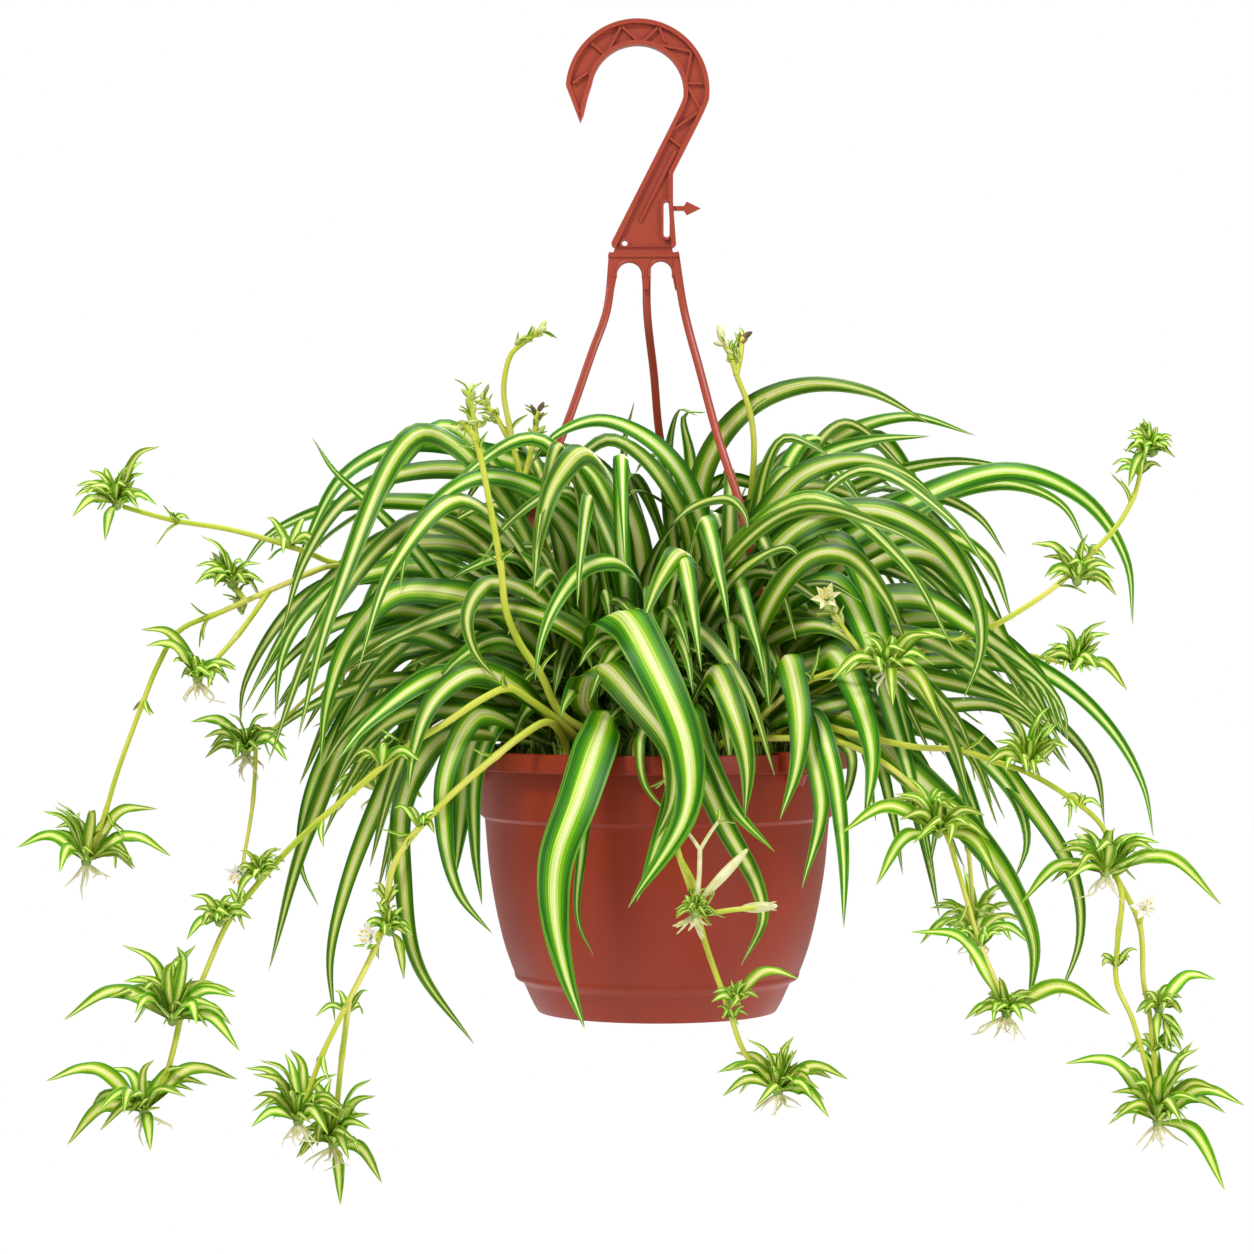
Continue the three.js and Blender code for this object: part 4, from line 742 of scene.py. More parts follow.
class Look:
    """A procedural material, built from small steps."""

    def __init__(self, name, roughness, specular=0.5):
        self.material = bpy.data.materials.new(name)
        self.material.use_nodes = True
        self.tree = self.material.node_tree
        self.shader = self.tree.nodes["Principled BSDF"]
        self.shader.inputs["Roughness"].default_value = roughness
        self.shader.inputs["Specular IOR Level"].default_value = specular

    def put(self, socket, value):
        if isinstance(value, bpy.types.NodeSocket):
            self.tree.links.new(value, socket)
        else:
            socket.default_value = value

    def node(self, kind, inputs, **settings):
        node = self.tree.nodes.new("ShaderNode" + kind)
        for name, value in settings.items():
            setattr(node, name, value)
        for name, value in inputs.items():
            self.put(node.inputs[name], value)
        return node

    def maths(self, operation, first, second=0.0):
        return self.node("Math", {0: first, 1: second}, operation=operation).outputs[0]

    def times(self, first, second):
        return self.maths("MULTIPLY", first, second)

    def plus(self, first, second):
        return self.maths("ADD", first, second)

    def remap(self, value, low, high, to_low, to_high):
        return self.node("MapRange", {"Value": value, "From Min": low, "From Max": high, "To Min": to_low,
                                      "To Max": to_high}).outputs[0]

    def mix(self, share, first, second, blend="MIX"):
        return self.node("Mix", {0: share, 6: first, 7: second}, data_type="RGBA",
                         blend_type=blend).outputs[2]

    def ramp(self, value, stops):
        node = self.node("ValToRGB", {0: value})
        elements = node.color_ramp.elements
        while len(elements) < len(stops):
            elements.new(1.0)
        for element, (place, colour) in zip(elements, stops):
            element.position = place
            element.color = srgb(colour)
        return node.outputs[0]

    def vector(self, x=0.0, y=0.0, z=0.0):
        return self.node("CombineXYZ", {0: x, 1: y, 2: z}).outputs[0]

    def noise(self, scale, detail=2.0, vector=None, rough=0.5):
        places = vector or self.node("TexCoord", {}).outputs["Object"]
        return self.node("TexNoise", {"Scale": scale, "Detail": detail, "Roughness": rough,
                                      "Vector": places}).outputs[0]

    def attribute(self, name):
        return self.node("Attribute", {}, attribute_name=name).outputs["Fac"]

    def leaf_coords(self):
        """How far along the leaf, and how far across it."""
        coords = self.node("UVMap", {}, uv_map="Leaf")
        parts = self.node("SeparateXYZ", {0: coords.outputs[0]})
        return parts.outputs[0], parts.outputs[1]

    def bump(self, height, strength, distance):
        node = self.node("Bump", {"Strength": strength, "Distance": distance, "Height": height})
        self.put(self.shader.inputs["Normal"], node.outputs[0])

    def colour(self, value):
        self.put(self.shader.inputs["Base Color"], value)
        return self.material


def srgb(text):
    """The linear colour of a six-digit hexadecimal colour."""
    values = [int(text[index:index + 2], 16) / 255 for index in (0, 2, 4)]
    return (*(value / 12.92 if value <= 0.04045 else ((value + 0.055) / 1.055) ** 2.4
              for value in values), 1)


def leaf_look(name, stops, foot, foot_reach):
    """Cream along the middle and green at the margins, in long streaks, paler at the foot."""
    look = Look(name, roughness=0.4, specular=0.24)
    along, across = look.leaf_coords()
    tone, stripe = look.attribute("tone"), look.attribute("stripe")
    side = look.maths("ABSOLUTE", look.maths("SUBTRACT", look.times(across, 2.0), 1.0))
    far = look.plus(look.times(along, STREAK_LENGTH), look.times(tone, 60.0))
    streak = look.noise(1.0, 2.0, look.vector(far, look.times(across, STREAKS), tone))
    spread = look.times(look.maths("SUBTRACT", streak, 0.5), STREAK_PUSH)
    share = look.maths("DIVIDE", look.plus(side, spread), stripe)
    colour = look.ramp(look.times(share, look.remap(along, *STRIPE_CLOSING)), stops)
    fine = look.noise(1.0, 1.0, look.vector(far, look.times(across, FINE_STREAKS), tone))
    shade = look.remap(fine, 0.3, 0.7, *FINE_SHADE)
    colour = look.mix(1.0, colour, look.vector(shade, shade, shade), "MULTIPLY")
    colour = look.mix(look.remap(along, 0.0, foot_reach, FOOT_SHARE, 0.0), colour, srgb(foot))
    vary = look.node("HueSaturation", {"Hue": look.remap(tone, 0.0, 1.0, *LEAF_HUES),
                                       "Value": look.remap(tone, 0.0, 1.0, *LEAF_VALUES), "Color": colour})
    look.bump(fine, 0.25, 0.0004)
    return look.colour(vary.outputs[0])


def stem_look():
    look = Look("stem", roughness=0.42, specular=0.3)
    along, across = look.leaf_coords()
    tone = look.attribute("tone")
    far = look.plus(look.times(along, 5.0), look.times(tone, 30.0))
    patch = look.noise(1.0, 3.0, look.vector(far, look.times(across, 2.0), tone))
    look.bump(look.noise(260.0, 1.0), 0.2, 0.0003)
    return look.colour(look.ramp(patch, [(0.3, "a2ba26"), (0.5, "c6cd40"), (0.7, "e4da78")]))


def plastic_look(name, dark, light, roughness, specular):
    look = Look(name, roughness, specular)
    for socket, value in COAT.items():
        look.put(look.shader.inputs[socket], value)
    cloud = look.noise(7.0, 4.0)
    look.bump(look.plus(look.noise(900.0, 2.0), look.times(cloud, 3.0)), 0.12, 0.0003)
    return look.colour(look.ramp(cloud, [(0.3, dark), (0.7, light)]))


def soil_look():
    look = Look("soil", roughness=0.95, specular=0.2)
    crumb = look.noise(320.0, 4.0, rough=0.65)
    look.bump(crumb, 0.8, 0.0015)
    return look.colour(look.ramp(crumb, [(0.35, "1d140d"), (0.52, "3d2b1d"), (0.7, "6b5238")]))


def plain_look(name, dark, light, roughness):
    """One colour that varies a little over the surface."""
    look = Look(name, roughness)
    grain = look.noise(160.0, 3.0)
    look.bump(grain, 0.15, 0.0003)
    return look.colour(look.ramp(grain, [(0.35, dark), (0.65, light)]))


# Colours from the middle of a leaf out to its margin. The lighter last stop is part pale edge, part painted
# highlight.
LEAF_STOPS = [(0.0, "e2e5a8"), (0.17, "d8df8a"), (0.22, "a4bc28"), (0.28, "d1de6c"), (0.36, "86b010"),
              (0.5, "589204"), (0.74, "356e01"), (0.93, "225001"), (1.0, "60901a")]
# The young leaves' lighter last stop is likewise part pale edge, part painted highlight.
YOUNG_STOPS = [(0.0, "f0f3a8"), (0.22, "e2eb80"), (0.28, "b0c928"), (0.36, "d2e056"), (0.46, "8ebb10"),
               (0.72, "5a9a04"), (0.93, "458404"), (1.0, "92b824")]
LEAF = leaf_look("leaf", LEAF_STOPS, "86a22c", 0.3)
YOUNG = leaf_look("young_leaf", YOUNG_STOPS, "a9bb3c", 0.35)
STEM = stem_look()
PLASTIC = plastic_look("brick_plastic", "8c2a0e", "a23617", 0.44, 0.24)
HANGER_PLASTIC = plastic_look("hanger_plastic", "983622", "ac462f", 0.36, 0.36)
SOIL = soil_look()
ROOT = plain_look("root", "d2c98e", "e9e5c0", 0.6)
HEART = plain_look("heart", "5f8a26", "a3b858", 0.5)
PETAL = plain_look("petal", "f1efe2", "fdfcf6", 0.5)
STAMEN = plain_look("stamen", "e0c33a", "f1db63", 0.5)
BUD = plain_look("bud", "9db03c", "cfd684", 0.5)
BLOSSOM_BUD = plain_look("blossom_bud", "cbcd84", "e6e1b4", 0.5)
DRY = plain_look("dry_bract", "4a3a22", "8a7442", 0.8)

# ---------------------------------------------------------------- pot

# Corners over this angle stay as they are. A rounding takes at most this share of a side.
NEARLY_STRAIGHT = 166
ROUND_SHARE = 0.45
ROUND_STEPS = 4
POT_SEGMENTS, BORE_SEGMENTS = 160, 24
WALL_STEPS = 22
POT_EDGE = 0.5
# How far a bore is cut past the lower face, and from how far over the pot's top.
BORE_PAST, BORE_START = 2, 4
# How far a lug's block keeps off the plane of the flange's lower face.
LUG_APART = 0.01


def bow(start, corner, end, share):
    """A point of the quadratic curve from start to end that is pulled towards the corner."""
    return start * (1 - share) ** 2 + corner * 2 * share * (1 - share) + end * share ** 2


def rounded(profile, radius):
    """The profile with its sharp corners rounded off."""
    path = [Vector(profile[0])]
    for before, corner, after in zip(profile, profile[1:], profile[2:]):
        corner = Vector(corner)
        back, ahead = Vector(before) - corner, Vector(after) - corner
        turn = back.angle(ahead)
        if turn > math.radians(NEARLY_STRAIGHT):
            path.append(corner)
            continue
        reach = min(radius / math.tan(turn / 2), back.length * ROUND_SHARE, ahead.length * ROUND_SHARE)
        start, end = corner + back.normalized() * reach, corner + ahead.normalized() * reach
        path += [bow(start, corner, end, step / ROUND_STEPS) for step in range(ROUND_STEPS + 1)]
    return path + [Vector(profile[-1])]


def lathe(skin, profile, segments, place=lambda point: point):
    """Turns a profile of radii and heights round the Z axis. It may start and end on the axis."""
    rings = []
    for radius, height in profile:
        if radius < TINY:
            rings.append([skin.add(place(up(height)))])
        else:
            rings.append(skin.ring([place(polar(radius, side * 360 / segments, height))
                                    for side in range(segments)]))
    for low, high in zip(rings, rings[1:]):
        for side in range(segments):
            after = (side + 1) % segments
            corners = [low[side % len(low)], low[after % len(low)], high[after % len(high)],
                       high[side % len(high)]]
            corners = list(dict.fromkeys(corners))
            if len(corners) > 2:
                skin.face(*corners)


def lathed(skin, profile, segments, foot):
    """A turned profile that stands on a place."""
    lathe(skin, profile, segments, lambda point: point + foot)


def bore(skin, foot, radius, low, high):
    lathed(skin, [(0, low), (radius, low), (radius, high), (0, high)], BORE_SEGMENTS, foot)


def helper(skin, name):
    """A mesh object that is only used to cut or join another."""
    mesh = bpy.data.meshes.new(name)
    mesh.from_pydata(skin.points, [], skin.faces)
    turn_outwards(mesh)
    return added(name, mesh)


def shaped(piece, cuts):
    """Cuts and joins a piece for good, and deletes what it was cut with."""
    for operation, other in cuts:
        modifier = piece.modifiers.new(operation, "BOOLEAN")
        modifier.operation = operation
        modifier.solver = "EXACT"
        modifier.object = other
    ready = piece.evaluated_get(bpy.context.evaluated_depsgraph_get())
    mesh = bpy.data.meshes.new_from_object(ready)
    piece.modifiers.clear()
    piece.data = mesh
    for _, other in cuts:
        bpy.data.objects.remove(other)
    mesh.shade_smooth()
    mesh.set_sharp_from_angle(angle=math.radians(SHARP_MOULDING))


def box(skin, low, high, place):
    corners = [skin.add(place(Vector((x, y, z))))
               for x in (low[0], high[0]) for y in (low[1], high[1]) for z in (low[2], high[2])]
    for side in ((0, 1, 3, 2), (4, 6, 7, 5), (0, 4, 5, 1), (2, 3, 7, 6), (0, 2, 6, 4), (1, 5, 7, 3)):
        skin.face(*(corners[corner] for corner in side))


def pot_profile():
    base, _, *body = POT_OUTER
    wall = [Vector((place.x, place.z)) for place, _ in
            walk([Vector((radius, 0, height)) for radius, height in body[:WALL_POINTS]], WALL_STEPS)]
    ridge = [wall[0] + Vector(step) for step in POT_RIDGE]
    upper = [*wall[2:], *map(Vector, body[WALL_POINTS:])]
    lip, under = POT_HEIGHT - FLANGE_DROP, POT_HEIGHT - WALL
    inner = [Vector((point.x - WALL, point.y)) for point in upper]
    return rounded([(0, BASE_HOLLOW), (base[0] - BASE_RING[0], BASE_HOLLOW), (base[0] - BASE_RING[1], 0),
                    *map(Vector, POT_FOOT), *ridge, *upper, (upper[-1].x, under),
                    (FLANGE_RADIUS - WALL, under), (FLANGE_RADIUS - WALL, lip), (FLANGE_RADIUS, lip),
                    (FLANGE_RADIUS, POT_HEIGHT), (MOUTH_RADIUS, POT_HEIGHT), *reversed(inner),
                    (base[0] - WALL, FLOOR), (0, FLOOR)], POT_EDGE)


def make_pot():
    skin = Skin()
    lathe(skin, pot_profile(), POT_SEGMENTS)
    pot = skin.build("pot_moulding", [PLASTIC], "plastic", ["pot"], SHARP_MOULDING)
    lugs, bores = Skin(), Skin()
    low = POT_HEIGHT - FLANGE_DROP
    for azimuth in LUG_AZIMUTHS:
        turned = Matrix.Rotation(math.radians(azimuth), 3, "Z")
        box(lugs, (LUG_INNER, -LUG_HALF_WIDTH, low + LUG_APART),
            (LUG_OUTER, LUG_HALF_WIDTH, POT_HEIGHT + LUG_RISE), lambda point: turned @ point)
        bore(bores, polar(LUG_RADIUS, azimuth, 0), LUG_BORE, low - BORE_PAST, POT_HEIGHT + BORE_START)
    for index in range(DRAIN_HOLES):
        bore(bores, polar(DRAIN_CIRCLE, index * 360 / DRAIN_HOLES, 0), DRAIN_RADIUS, -BORE_PAST,
             FLOOR + BORE_PAST)
    lug_blocks = helper(lugs, "lug_blocks")
    edge = lug_blocks.modifiers.new("edge", "BEVEL")
    edge.width, edge.segments = LUG_EDGE * MM, 3
    shaped(pot, [("UNION", lug_blocks), ("DIFFERENCE", helper(bores, "bores"))])


# ---------------------------------------------------------------- soil

SOIL_RINGS, SOIL_SEGMENTS = 26, 96
ROUGHNESS, ROUGH_RISE = 0.8, (-1.0, 1.1)
# Loose crumbs: how far out they lie, their sizes, and the shares of big and of dry ones.
CRUMBS = 900
CRUMB_REACH = 0.97
CRUMB_SIZES, BIG_CRUMB = (0.9, 3.6), 1.5
BIG_CRUMBS, DRY_CRUMBS = 0.06, 0.12
# Stubs of old leaves: where they stand, how high and wide they are, how far they lean and turn
# aside, and from where on out they lean less.
STUBS = 260
STUB_RING = (62, 92)
STUB_HEIGHTS = (9, 24)
STUB_WIDTHS = (6, 11)
STUB_OUTER = 84
STUB_LEAN, STUB_OUTER_LEAN, STUB_TURN, STUB_TILT = 0.35, 0.1, 70, 0.6

GOLDEN = (1 + math.sqrt(5)) / 2
ICOSAHEDRON = [Vector(corner).normalized() for corner in (
    (-1, GOLDEN, 0), (1, GOLDEN, 0), (-1, -GOLDEN, 0), (1, -GOLDEN, 0), (0, -1, GOLDEN), (0, 1, GOLDEN),
    (0, -1, -GOLDEN), (0, 1, -GOLDEN), (GOLDEN, 0, -1), (GOLDEN, 0, 1), (-GOLDEN, 0, -1), (-GOLDEN, 0, 1))]
ICOSAHEDRON_FACES = (
    (0, 11, 5), (0, 5, 1), (0, 1, 7), (0, 7, 10), (0, 10, 11), (1, 5, 9), (5, 11, 4), (11, 10, 2),
    (10, 7, 6), (7, 1, 8), (3, 9, 4), (3, 4, 2), (3, 2, 6), (3, 6, 8), (3, 8, 9), (4, 9, 5), (2, 4, 11),
    (6, 2, 10), (8, 6, 7), (9, 8, 1))


def lump(skin, centre, size, rng):
    """A rough crumb with twenty faces."""
    stretch = Vector((rng.uniform(0.6, 1.2), rng.uniform(0.6, 1.2), rng.uniform(0.4, 0.8))) * size
    turn = Matrix.Rotation(rng.uniform(0, math.tau), 3, "Z") @ Matrix.Rotation(rng.uniform(0, 0.8), 3, "X")
    corners = [skin.add(centre + turn @ (corner * stretch) * rng.uniform(0.72, 1.15))
               for corner in ICOSAHEDRON]
    for face in ICOSAHEDRON_FACES:
        skin.face(*(corners[corner] for corner in face))


def soil_height(radius):
    return SOIL_TOP + SOIL_DOME * (1 - (radius / SOIL_RADIUS) ** 2)


def make_soil():
    rng = random.Random(5)
    skin = Skin()
    base, _, *body = POT_OUTER
    gap = WALL + SOIL_GAP
    low = FLOOR + SOIL_GAP
    dome = [SOIL_RADIUS * (1 - step / SOIL_RINGS) for step in range(1, SOIL_RINGS + 1)]
    lathe(skin, [(0, low), (base[0] - gap, low),
                 *((radius - gap, height) for radius, height in body[:WALL_POINTS]), (SOIL_RADIUS, SOIL_TOP),
                 *((radius, soil_height(radius)) for radius in dome)], SOIL_SEGMENTS)
    for index, point in enumerate(skin.points):
        if (point / MM + BEARING).z > SOIL_TOP + 0.05:
            skin.points[index] = point + Vector((
                rng.uniform(-ROUGHNESS, ROUGHNESS), rng.uniform(-ROUGHNESS, ROUGHNESS),
                rng.uniform(*ROUGH_RISE))) * MM
    for _ in range(CRUMBS):
        radius = SOIL_RADIUS * math.sqrt(rng.random()) * CRUMB_REACH
        size = rng.uniform(*CRUMB_SIZES) * (BIG_CRUMB if rng.random() < BIG_CRUMBS else 1)
        skin.look = 1 if rng.random() < DRY_CRUMBS else 0
        lump(skin, polar(radius, rng.uniform(0, 360), soil_height(radius) + 0.1 * size), size, rng)
    skin.look = 2
    for _ in range(STUBS):
        azimuth = rng.uniform(0, 360)
        foot = polar(rng.uniform(*STUB_RING), azimuth, SOIL_TOP)
        height = rng.uniform(*STUB_HEIGHTS)
        # The stubs are kept darkest of all: painted shade down on the soil under the leaves.
        skin.vary(rng, 0.35, 0.8, 0.3)
        heading = azimuth + rng.uniform(-STUB_TURN, STUB_TURN)
        slant = (STUB_LEAN if math.hypot(foot.x, foot.y) < STUB_OUTER else STUB_OUTER_LEAN) * height
        arch = route_from(foot, heading, [(0, 0, 0), (0.3 * slant, 0, 0.6 * height), (slant, 0, height)])
        blade(skin, arch, rng.uniform(*STUB_WIDTHS), rng.uniform(-STUB_TILT, STUB_TILT), 9,
              thickness=STUB_THICKNESS, fullness=2)
    skin.build("potting_soil", [SOIL, DRY, LEAF], "soil", ["soil"], SHARP_SOIL)


# ---------------------------------------------------------------- hanger

# Places on the hook are across and up from the centre of its ring.
SHANK = [(17.6, -21.3), (-0.5, -57), (-14.6, -84.8), (-14.4, -86.8), (-12.4, -87.6), (20.2, -87.6),
         (21.6, -85.9), (19.9, -62.3), (19.9, -46), (33, -20)]
HOOK_TIP = [(-32.1, -17.6), (-30.2, -13.2), (-27.9, -3.5)]
BEND_INNER, BEND_OUTER = (25.4, -5.8), (39.3, -7.4)
BEND_STEPS = 6
# Arcs: where they start and end, and in how many steps.
INNER_ARC, OUTER_ARC, ARCH_ARC = (170, -8, 60), (-6, 175, 72), (0, 180, 16)
# The thin ribs between the hook's rims, from end to end.
RIBS = [
    [(-36.4, 4.1), (-28.1, 10.1)], [(-25.9, 26.5), (-19.2, 20.8)], [(-9.2, 36.2), (-16.1, 22.8)],
    [(-9.2, 36.2), (0.1, 27.8)], [(3.8, 27.8), (11.9, 35.9)], [(11.9, 35.9), (15.5, 27.0)],
    [(4.3, 27.3), (29.7, 22.0)], [(30.2, 21.6), (27.0, 4.9)], [(27.3, 4.1), (36.2, 4.1)],
    [(27.3, 3.5), (35.4, -10.8)], [(33.5, -12.4), (18.1, -23.0)], [(16.4, -25.1), (24.9, -31.9)],
]
LONG_RIB = [(21.5, -33.5), (1.4, -73)]
RIB_THICKNESS, LONG_RIB_THICKNESS, LONG_RIB_END = 1.3, 2.2, 0.9
# How far the web stays inside the outline, and how much less deep than the hook the others are.
WEB_INSET, RIB_LOWER, LONG_RIB_LOWER, SLOT_RIM_LOWER = 0.8, 1.2, 2.4, 1.6
# The slot, from left to right and from low to high.
SLOT = (14.6, 18, -82, -62)
SLOT_RIM = 1.5
PIN = (-7.2, -85.2)
PIN_RADIUS = 1.6
PIN_BOSS, PIN_BOSS_RISE = 3.2, 2.4
PIN_STEPS = (0, 342, 19)
PEG = [(18.5, -66.9), (26, -66.9), (27.6, -69.4), (35.3, -65.6), (27.6, -61.8), (26, -64.3), (18.5, -64.3)]
PEG_DEPTH = 2.6
COLLAR = [(-12.5, -86.8), (19, -86.8), (20.4, -92.4), (-14, -92.4)]
# The yoke, from the pot's axis and base, and the arches between its three legs.
YOKE_TOP = 423.6
YOKE_FOOT = 404
YOKE_DEPTH = 5
YOKE_SHOULDER = 412
YOKE_RIGHT = [(-27.2, YOKE_TOP), (11.6, YOKE_TOP), (13.0, YOKE_SHOULDER), (14.2, YOKE_FOOT),
              (10.2, YOKE_FOOT)]
YOKE_MIDDLE = [(-4.6, YOKE_FOOT), (-8.0, YOKE_FOOT)]
YOKE_LEFT = [(-24.0, YOKE_FOOT), (-28.1, YOKE_FOOT), (-27.0, YOKE_SHOULDER)]
YOKE_LEDGE = [(-27.4, YOKE_TOP - 0.6), (11.8, YOKE_TOP - 0.6)]
LEDGE_THICKNESS, LEDGE_RISE = 1.6, 2
ARCHES = [((2.2, 413.8), 6.1), ((-15.5, 412.4), 6.9)]
ARCH_RIM, ARCH_STEPS, ARCH_SIDES = 0.85, 60, 10
ARCH_APART, ARCH_FOOT = 0.8, 411
EDGE = 0.38
# How far a strand starts up in the yoke, and the heights at which it comes down to its lug.
STRAND_START = 5
STRAND_LANDING = (POT_HEIGHT + 18, POT_HEIGHT + 8, POT_HEIGHT - FLANGE_DROP - 4)
STRAND_SIDES, STRAND_STEPS = 20, 90
STRAND_HALF = (2.3, 1.75)
STRAND_FLARE = 0.75
FLARE_REACH = 9
STRAND_GROOVE, GROOVE_HALF = 0.28, 0.35
STRAND_HEAD = [(0, -7), (2, -7), (4.3, -1), (4.3, 0), (0, 0)]
HEAD_EDGE, HEAD_SEGMENTS = 0.5, 20
STRAND_SEAT = 0.3


def arc(centre, radius, start, end, steps):
    angles = [math.radians(between(start, end, step / steps)) for step in range(steps + 1)]
    return [(centre[0] + radius * math.cos(angle), centre[1] + radius * math.sin(angle)) for angle in angles]


def bend(*places):
    """The places between start and end of a curve that is pulled towards the corner."""
    start, corner, end = map(Vector, places)
    return [tuple(bow(start, corner, end, step / BEND_STEPS)) for step in range(1, BEND_STEPS)]


def inset(outline, distance):
    """The outline, moved inwards. It runs clockwise."""
    moved = []
    for index, corner in enumerate(outline):
        before, after = Vector(outline[index - 1]), Vector(outline[(index + 1) % len(outline)])
        corner = Vector(corner)
        into, out_of = (corner - before).normalized(), (after - corner).normalized()
        normal = Vector((into.y + out_of.y, -into.x - out_of.x)).normalized()
        reach = distance / max(0.5, normal.dot(Vector((into.y, -into.x))))
        moved.append(tuple(corner + normal * reach))
    return moved


def plate(skin, outline, depth):
    """A flat piece about Y = 0, from an outline of points across and up."""
    front, back = ([skin.add(Vector((x, y, z))) for x, z in outline] for y in (-depth / 2, depth / 2))
    skin.face(*front)
    skin.face(*reversed(back))
    skin.bridge(front, back)


def band(skin, outer, inner, depth):
    """A flat frame between two outlines with as many points."""
    near, far = -depth / 2, depth / 2
    loops = [[skin.add(Vector((x, y, z))) for x, z in outline]
             for outline, y in ((outer, near), (inner, near), (inner, far), (outer, far))]
    for low, high in zip(loops, loops[1:] + loops[:1]):
        skin.bridge(low, high)


def strut(skin, ends, thickness, depth, end_thickness=None):
    """A straight rib from end to end."""
    start, end = map(Vector, ends)
    along = (end - start).normalized()
    side = Vector((-along.y, along.x)) / 2
    far = end_thickness or thickness
    plate(skin, [start + side * thickness, end + side * far, end - side * far, start - side * thickness],
          depth)


def on_hook(points):
    return [(HOOK_X + x, HOOK_Z + z) for x, z in points]


def hook_outline():
    """The hook's outline, clockwise."""
    inner = arc((0, 0), HOOK_INNER, *INNER_ARC)
    outer = arc((0, 0), HOOK_OUTER, *OUTER_ARC)
    return [*HOOK_TIP, *inner, *bend(inner[-1], BEND_INNER, SHANK[0]), *SHANK,
            *bend(SHANK[-1], BEND_OUTER, outer[0]), *outer][::-1]


def hook_slot(grow):
    left, right, low, high = SLOT[0] - grow, SLOT[1] + grow, SLOT[2] - grow, SLOT[3] + grow
    radius = (right - left) / 2
    middle = (left + right) / 2
    return (arc((middle, high - radius), radius, 0, 180, 10)
            + arc((middle, low + radius), radius, 180, 360, 10))


def yoke_outline():
    """The yoke with the arches between its three legs, clockwise."""
    right, left = (arc(centre, radius, *ARCH_ARC) for centre, radius in ARCHES)
    return [*YOKE_RIGHT, *right, *YOKE_MIDDLE, *left, *YOKE_LEFT]


def strand_route(index):
    foot = polar(LUG_RADIUS, LUG_AZIMUTHS[index], 0)
    points = spots(STRANDS[index])
    points[0].z += STRAND_START
    return points + [foot + up(height) for height in STRAND_LANDING]


def make_strand(skin, index):
    """A strip of moulded plastic with rounded edges and a groove along its faces."""
    path = walk(strand_route(index), STRAND_STEPS)
    normal = Vector((0, 1, 0))
    rings = []
    for step, (centre, direction) in enumerate(path):
        normal = (normal - direction * normal.dot(direction)).normalized()
        across = direction.cross(normal)
        flare = STRAND_HALF[1] + STRAND_FLARE * max(0, 1 - FLARE_REACH * step / len(path))
        ring = []
        for side in range(STRAND_SIDES):
            angle = math.tau * side / STRAND_SIDES
            cos, sin = math.cos(angle), math.sin(angle)
            wide = STRAND_HALF[0] * math.copysign(abs(cos) ** 0.5, cos)
            groove = STRAND_GROOVE * (abs(cos) < GROOVE_HALF)
            deep = flare * math.copysign(abs(sin) ** 0.5, sin) * (1 - groove)
            ring.append(centre + across * wide + normal * deep)
        rings.append(skin.ring(ring))
    skin.loft(rings)


def soften(piece, width):
    """Rounds a moulding's edges."""
    edge = piece.modifiers.new("edge", "BEVEL")
    edge.width, edge.segments, edge.limit_method = width * MM, 2, "ANGLE"
    edge.angle_limit = math.radians(SHARP)
    edge.harden_normals = True


def hanger_piece(skin, name, sharp=SHARP):
    return skin.build(name, [HANGER_PLASTIC], "plastic", ["hanger"], sharp)


def make_hanger():
    outline, slot, pin = hook_outline(), hook_slot(0), arc(PIN, PIN_RADIUS, *PIN_STEPS)
    web, holes, skin, rims, strands = Skin(), Skin(), Skin(), Skin(), Skin()
    plate(web, on_hook(inset(outline, WEB_INSET)), HOOK_WEB)
    plate(holes, on_hook(slot), HOOK_DEPTH)
    plate(holes, on_hook(pin), HOOK_DEPTH)
    shaped(hanger_piece(web, "hanger_web"), [("DIFFERENCE", helper(holes, "hanger_holes"))])
    bottom = min(z for _, z in outline)
    inner = [(x, z if z > bottom + HOOK_FLANGE + 0.3 else bottom + 0.1)
             for x, z in inset(outline, HOOK_FLANGE)]
    band(skin, on_hook(outline), on_hook(inner), HOOK_DEPTH)
    band(skin, on_hook(hook_slot(SLOT_RIM)), on_hook(slot), HOOK_DEPTH - SLOT_RIM_LOWER)
    band(skin, on_hook(arc(PIN, PIN_BOSS, *PIN_STEPS)), on_hook(pin), HOOK_WEB + PIN_BOSS_RISE)
    plate(skin, on_hook(PEG), PEG_DEPTH)
    for ends in RIBS:
        strut(skin, on_hook(ends), RIB_THICKNESS, HOOK_DEPTH - RIB_LOWER)
    strut(skin, on_hook(LONG_RIB), LONG_RIB_THICKNESS, HOOK_DEPTH - LONG_RIB_LOWER, LONG_RIB_END)
    plate(skin, yoke_outline(), YOKE_DEPTH)
    plate(skin, on_hook(COLLAR), YOKE_DEPTH)
    strut(skin, YOKE_LEDGE, LEDGE_THICKNESS, YOKE_DEPTH + LEDGE_RISE)
    soften(hanger_piece(skin, "hanger_moulding"), EDGE)
    for (x, z), radius in ARCHES:
        reach = radius + ARCH_APART
        curve = [(x + reach, ARCH_FOOT), *arc((x, z), reach, *ARCH_ARC), (x - reach, ARCH_FOOT)]
        for y in (-YOKE_DEPTH / 2, YOKE_DEPTH / 2):
            path = walk([Vector((across, y, height)) for across, height in curve], ARCH_STEPS)
            rims.tube(path, lambda along: ARCH_RIM, ARCH_SIDES)
    hanger_piece(rims, "hanger_arches")
    for index, azimuth in enumerate(LUG_AZIMUTHS):
        make_strand(strands, index)
        lathed(strands, rounded(STRAND_HEAD, HEAD_EDGE), HEAD_SEGMENTS,
               polar(LUG_RADIUS, azimuth, POT_HEIGHT - FLANGE_DROP - STRAND_SEAT))
    hanger_piece(strands, "hanger_strands", SHARP_STRAND)


# ---------------------------------------------------------------- crowns of long leaves

FRONT = 270
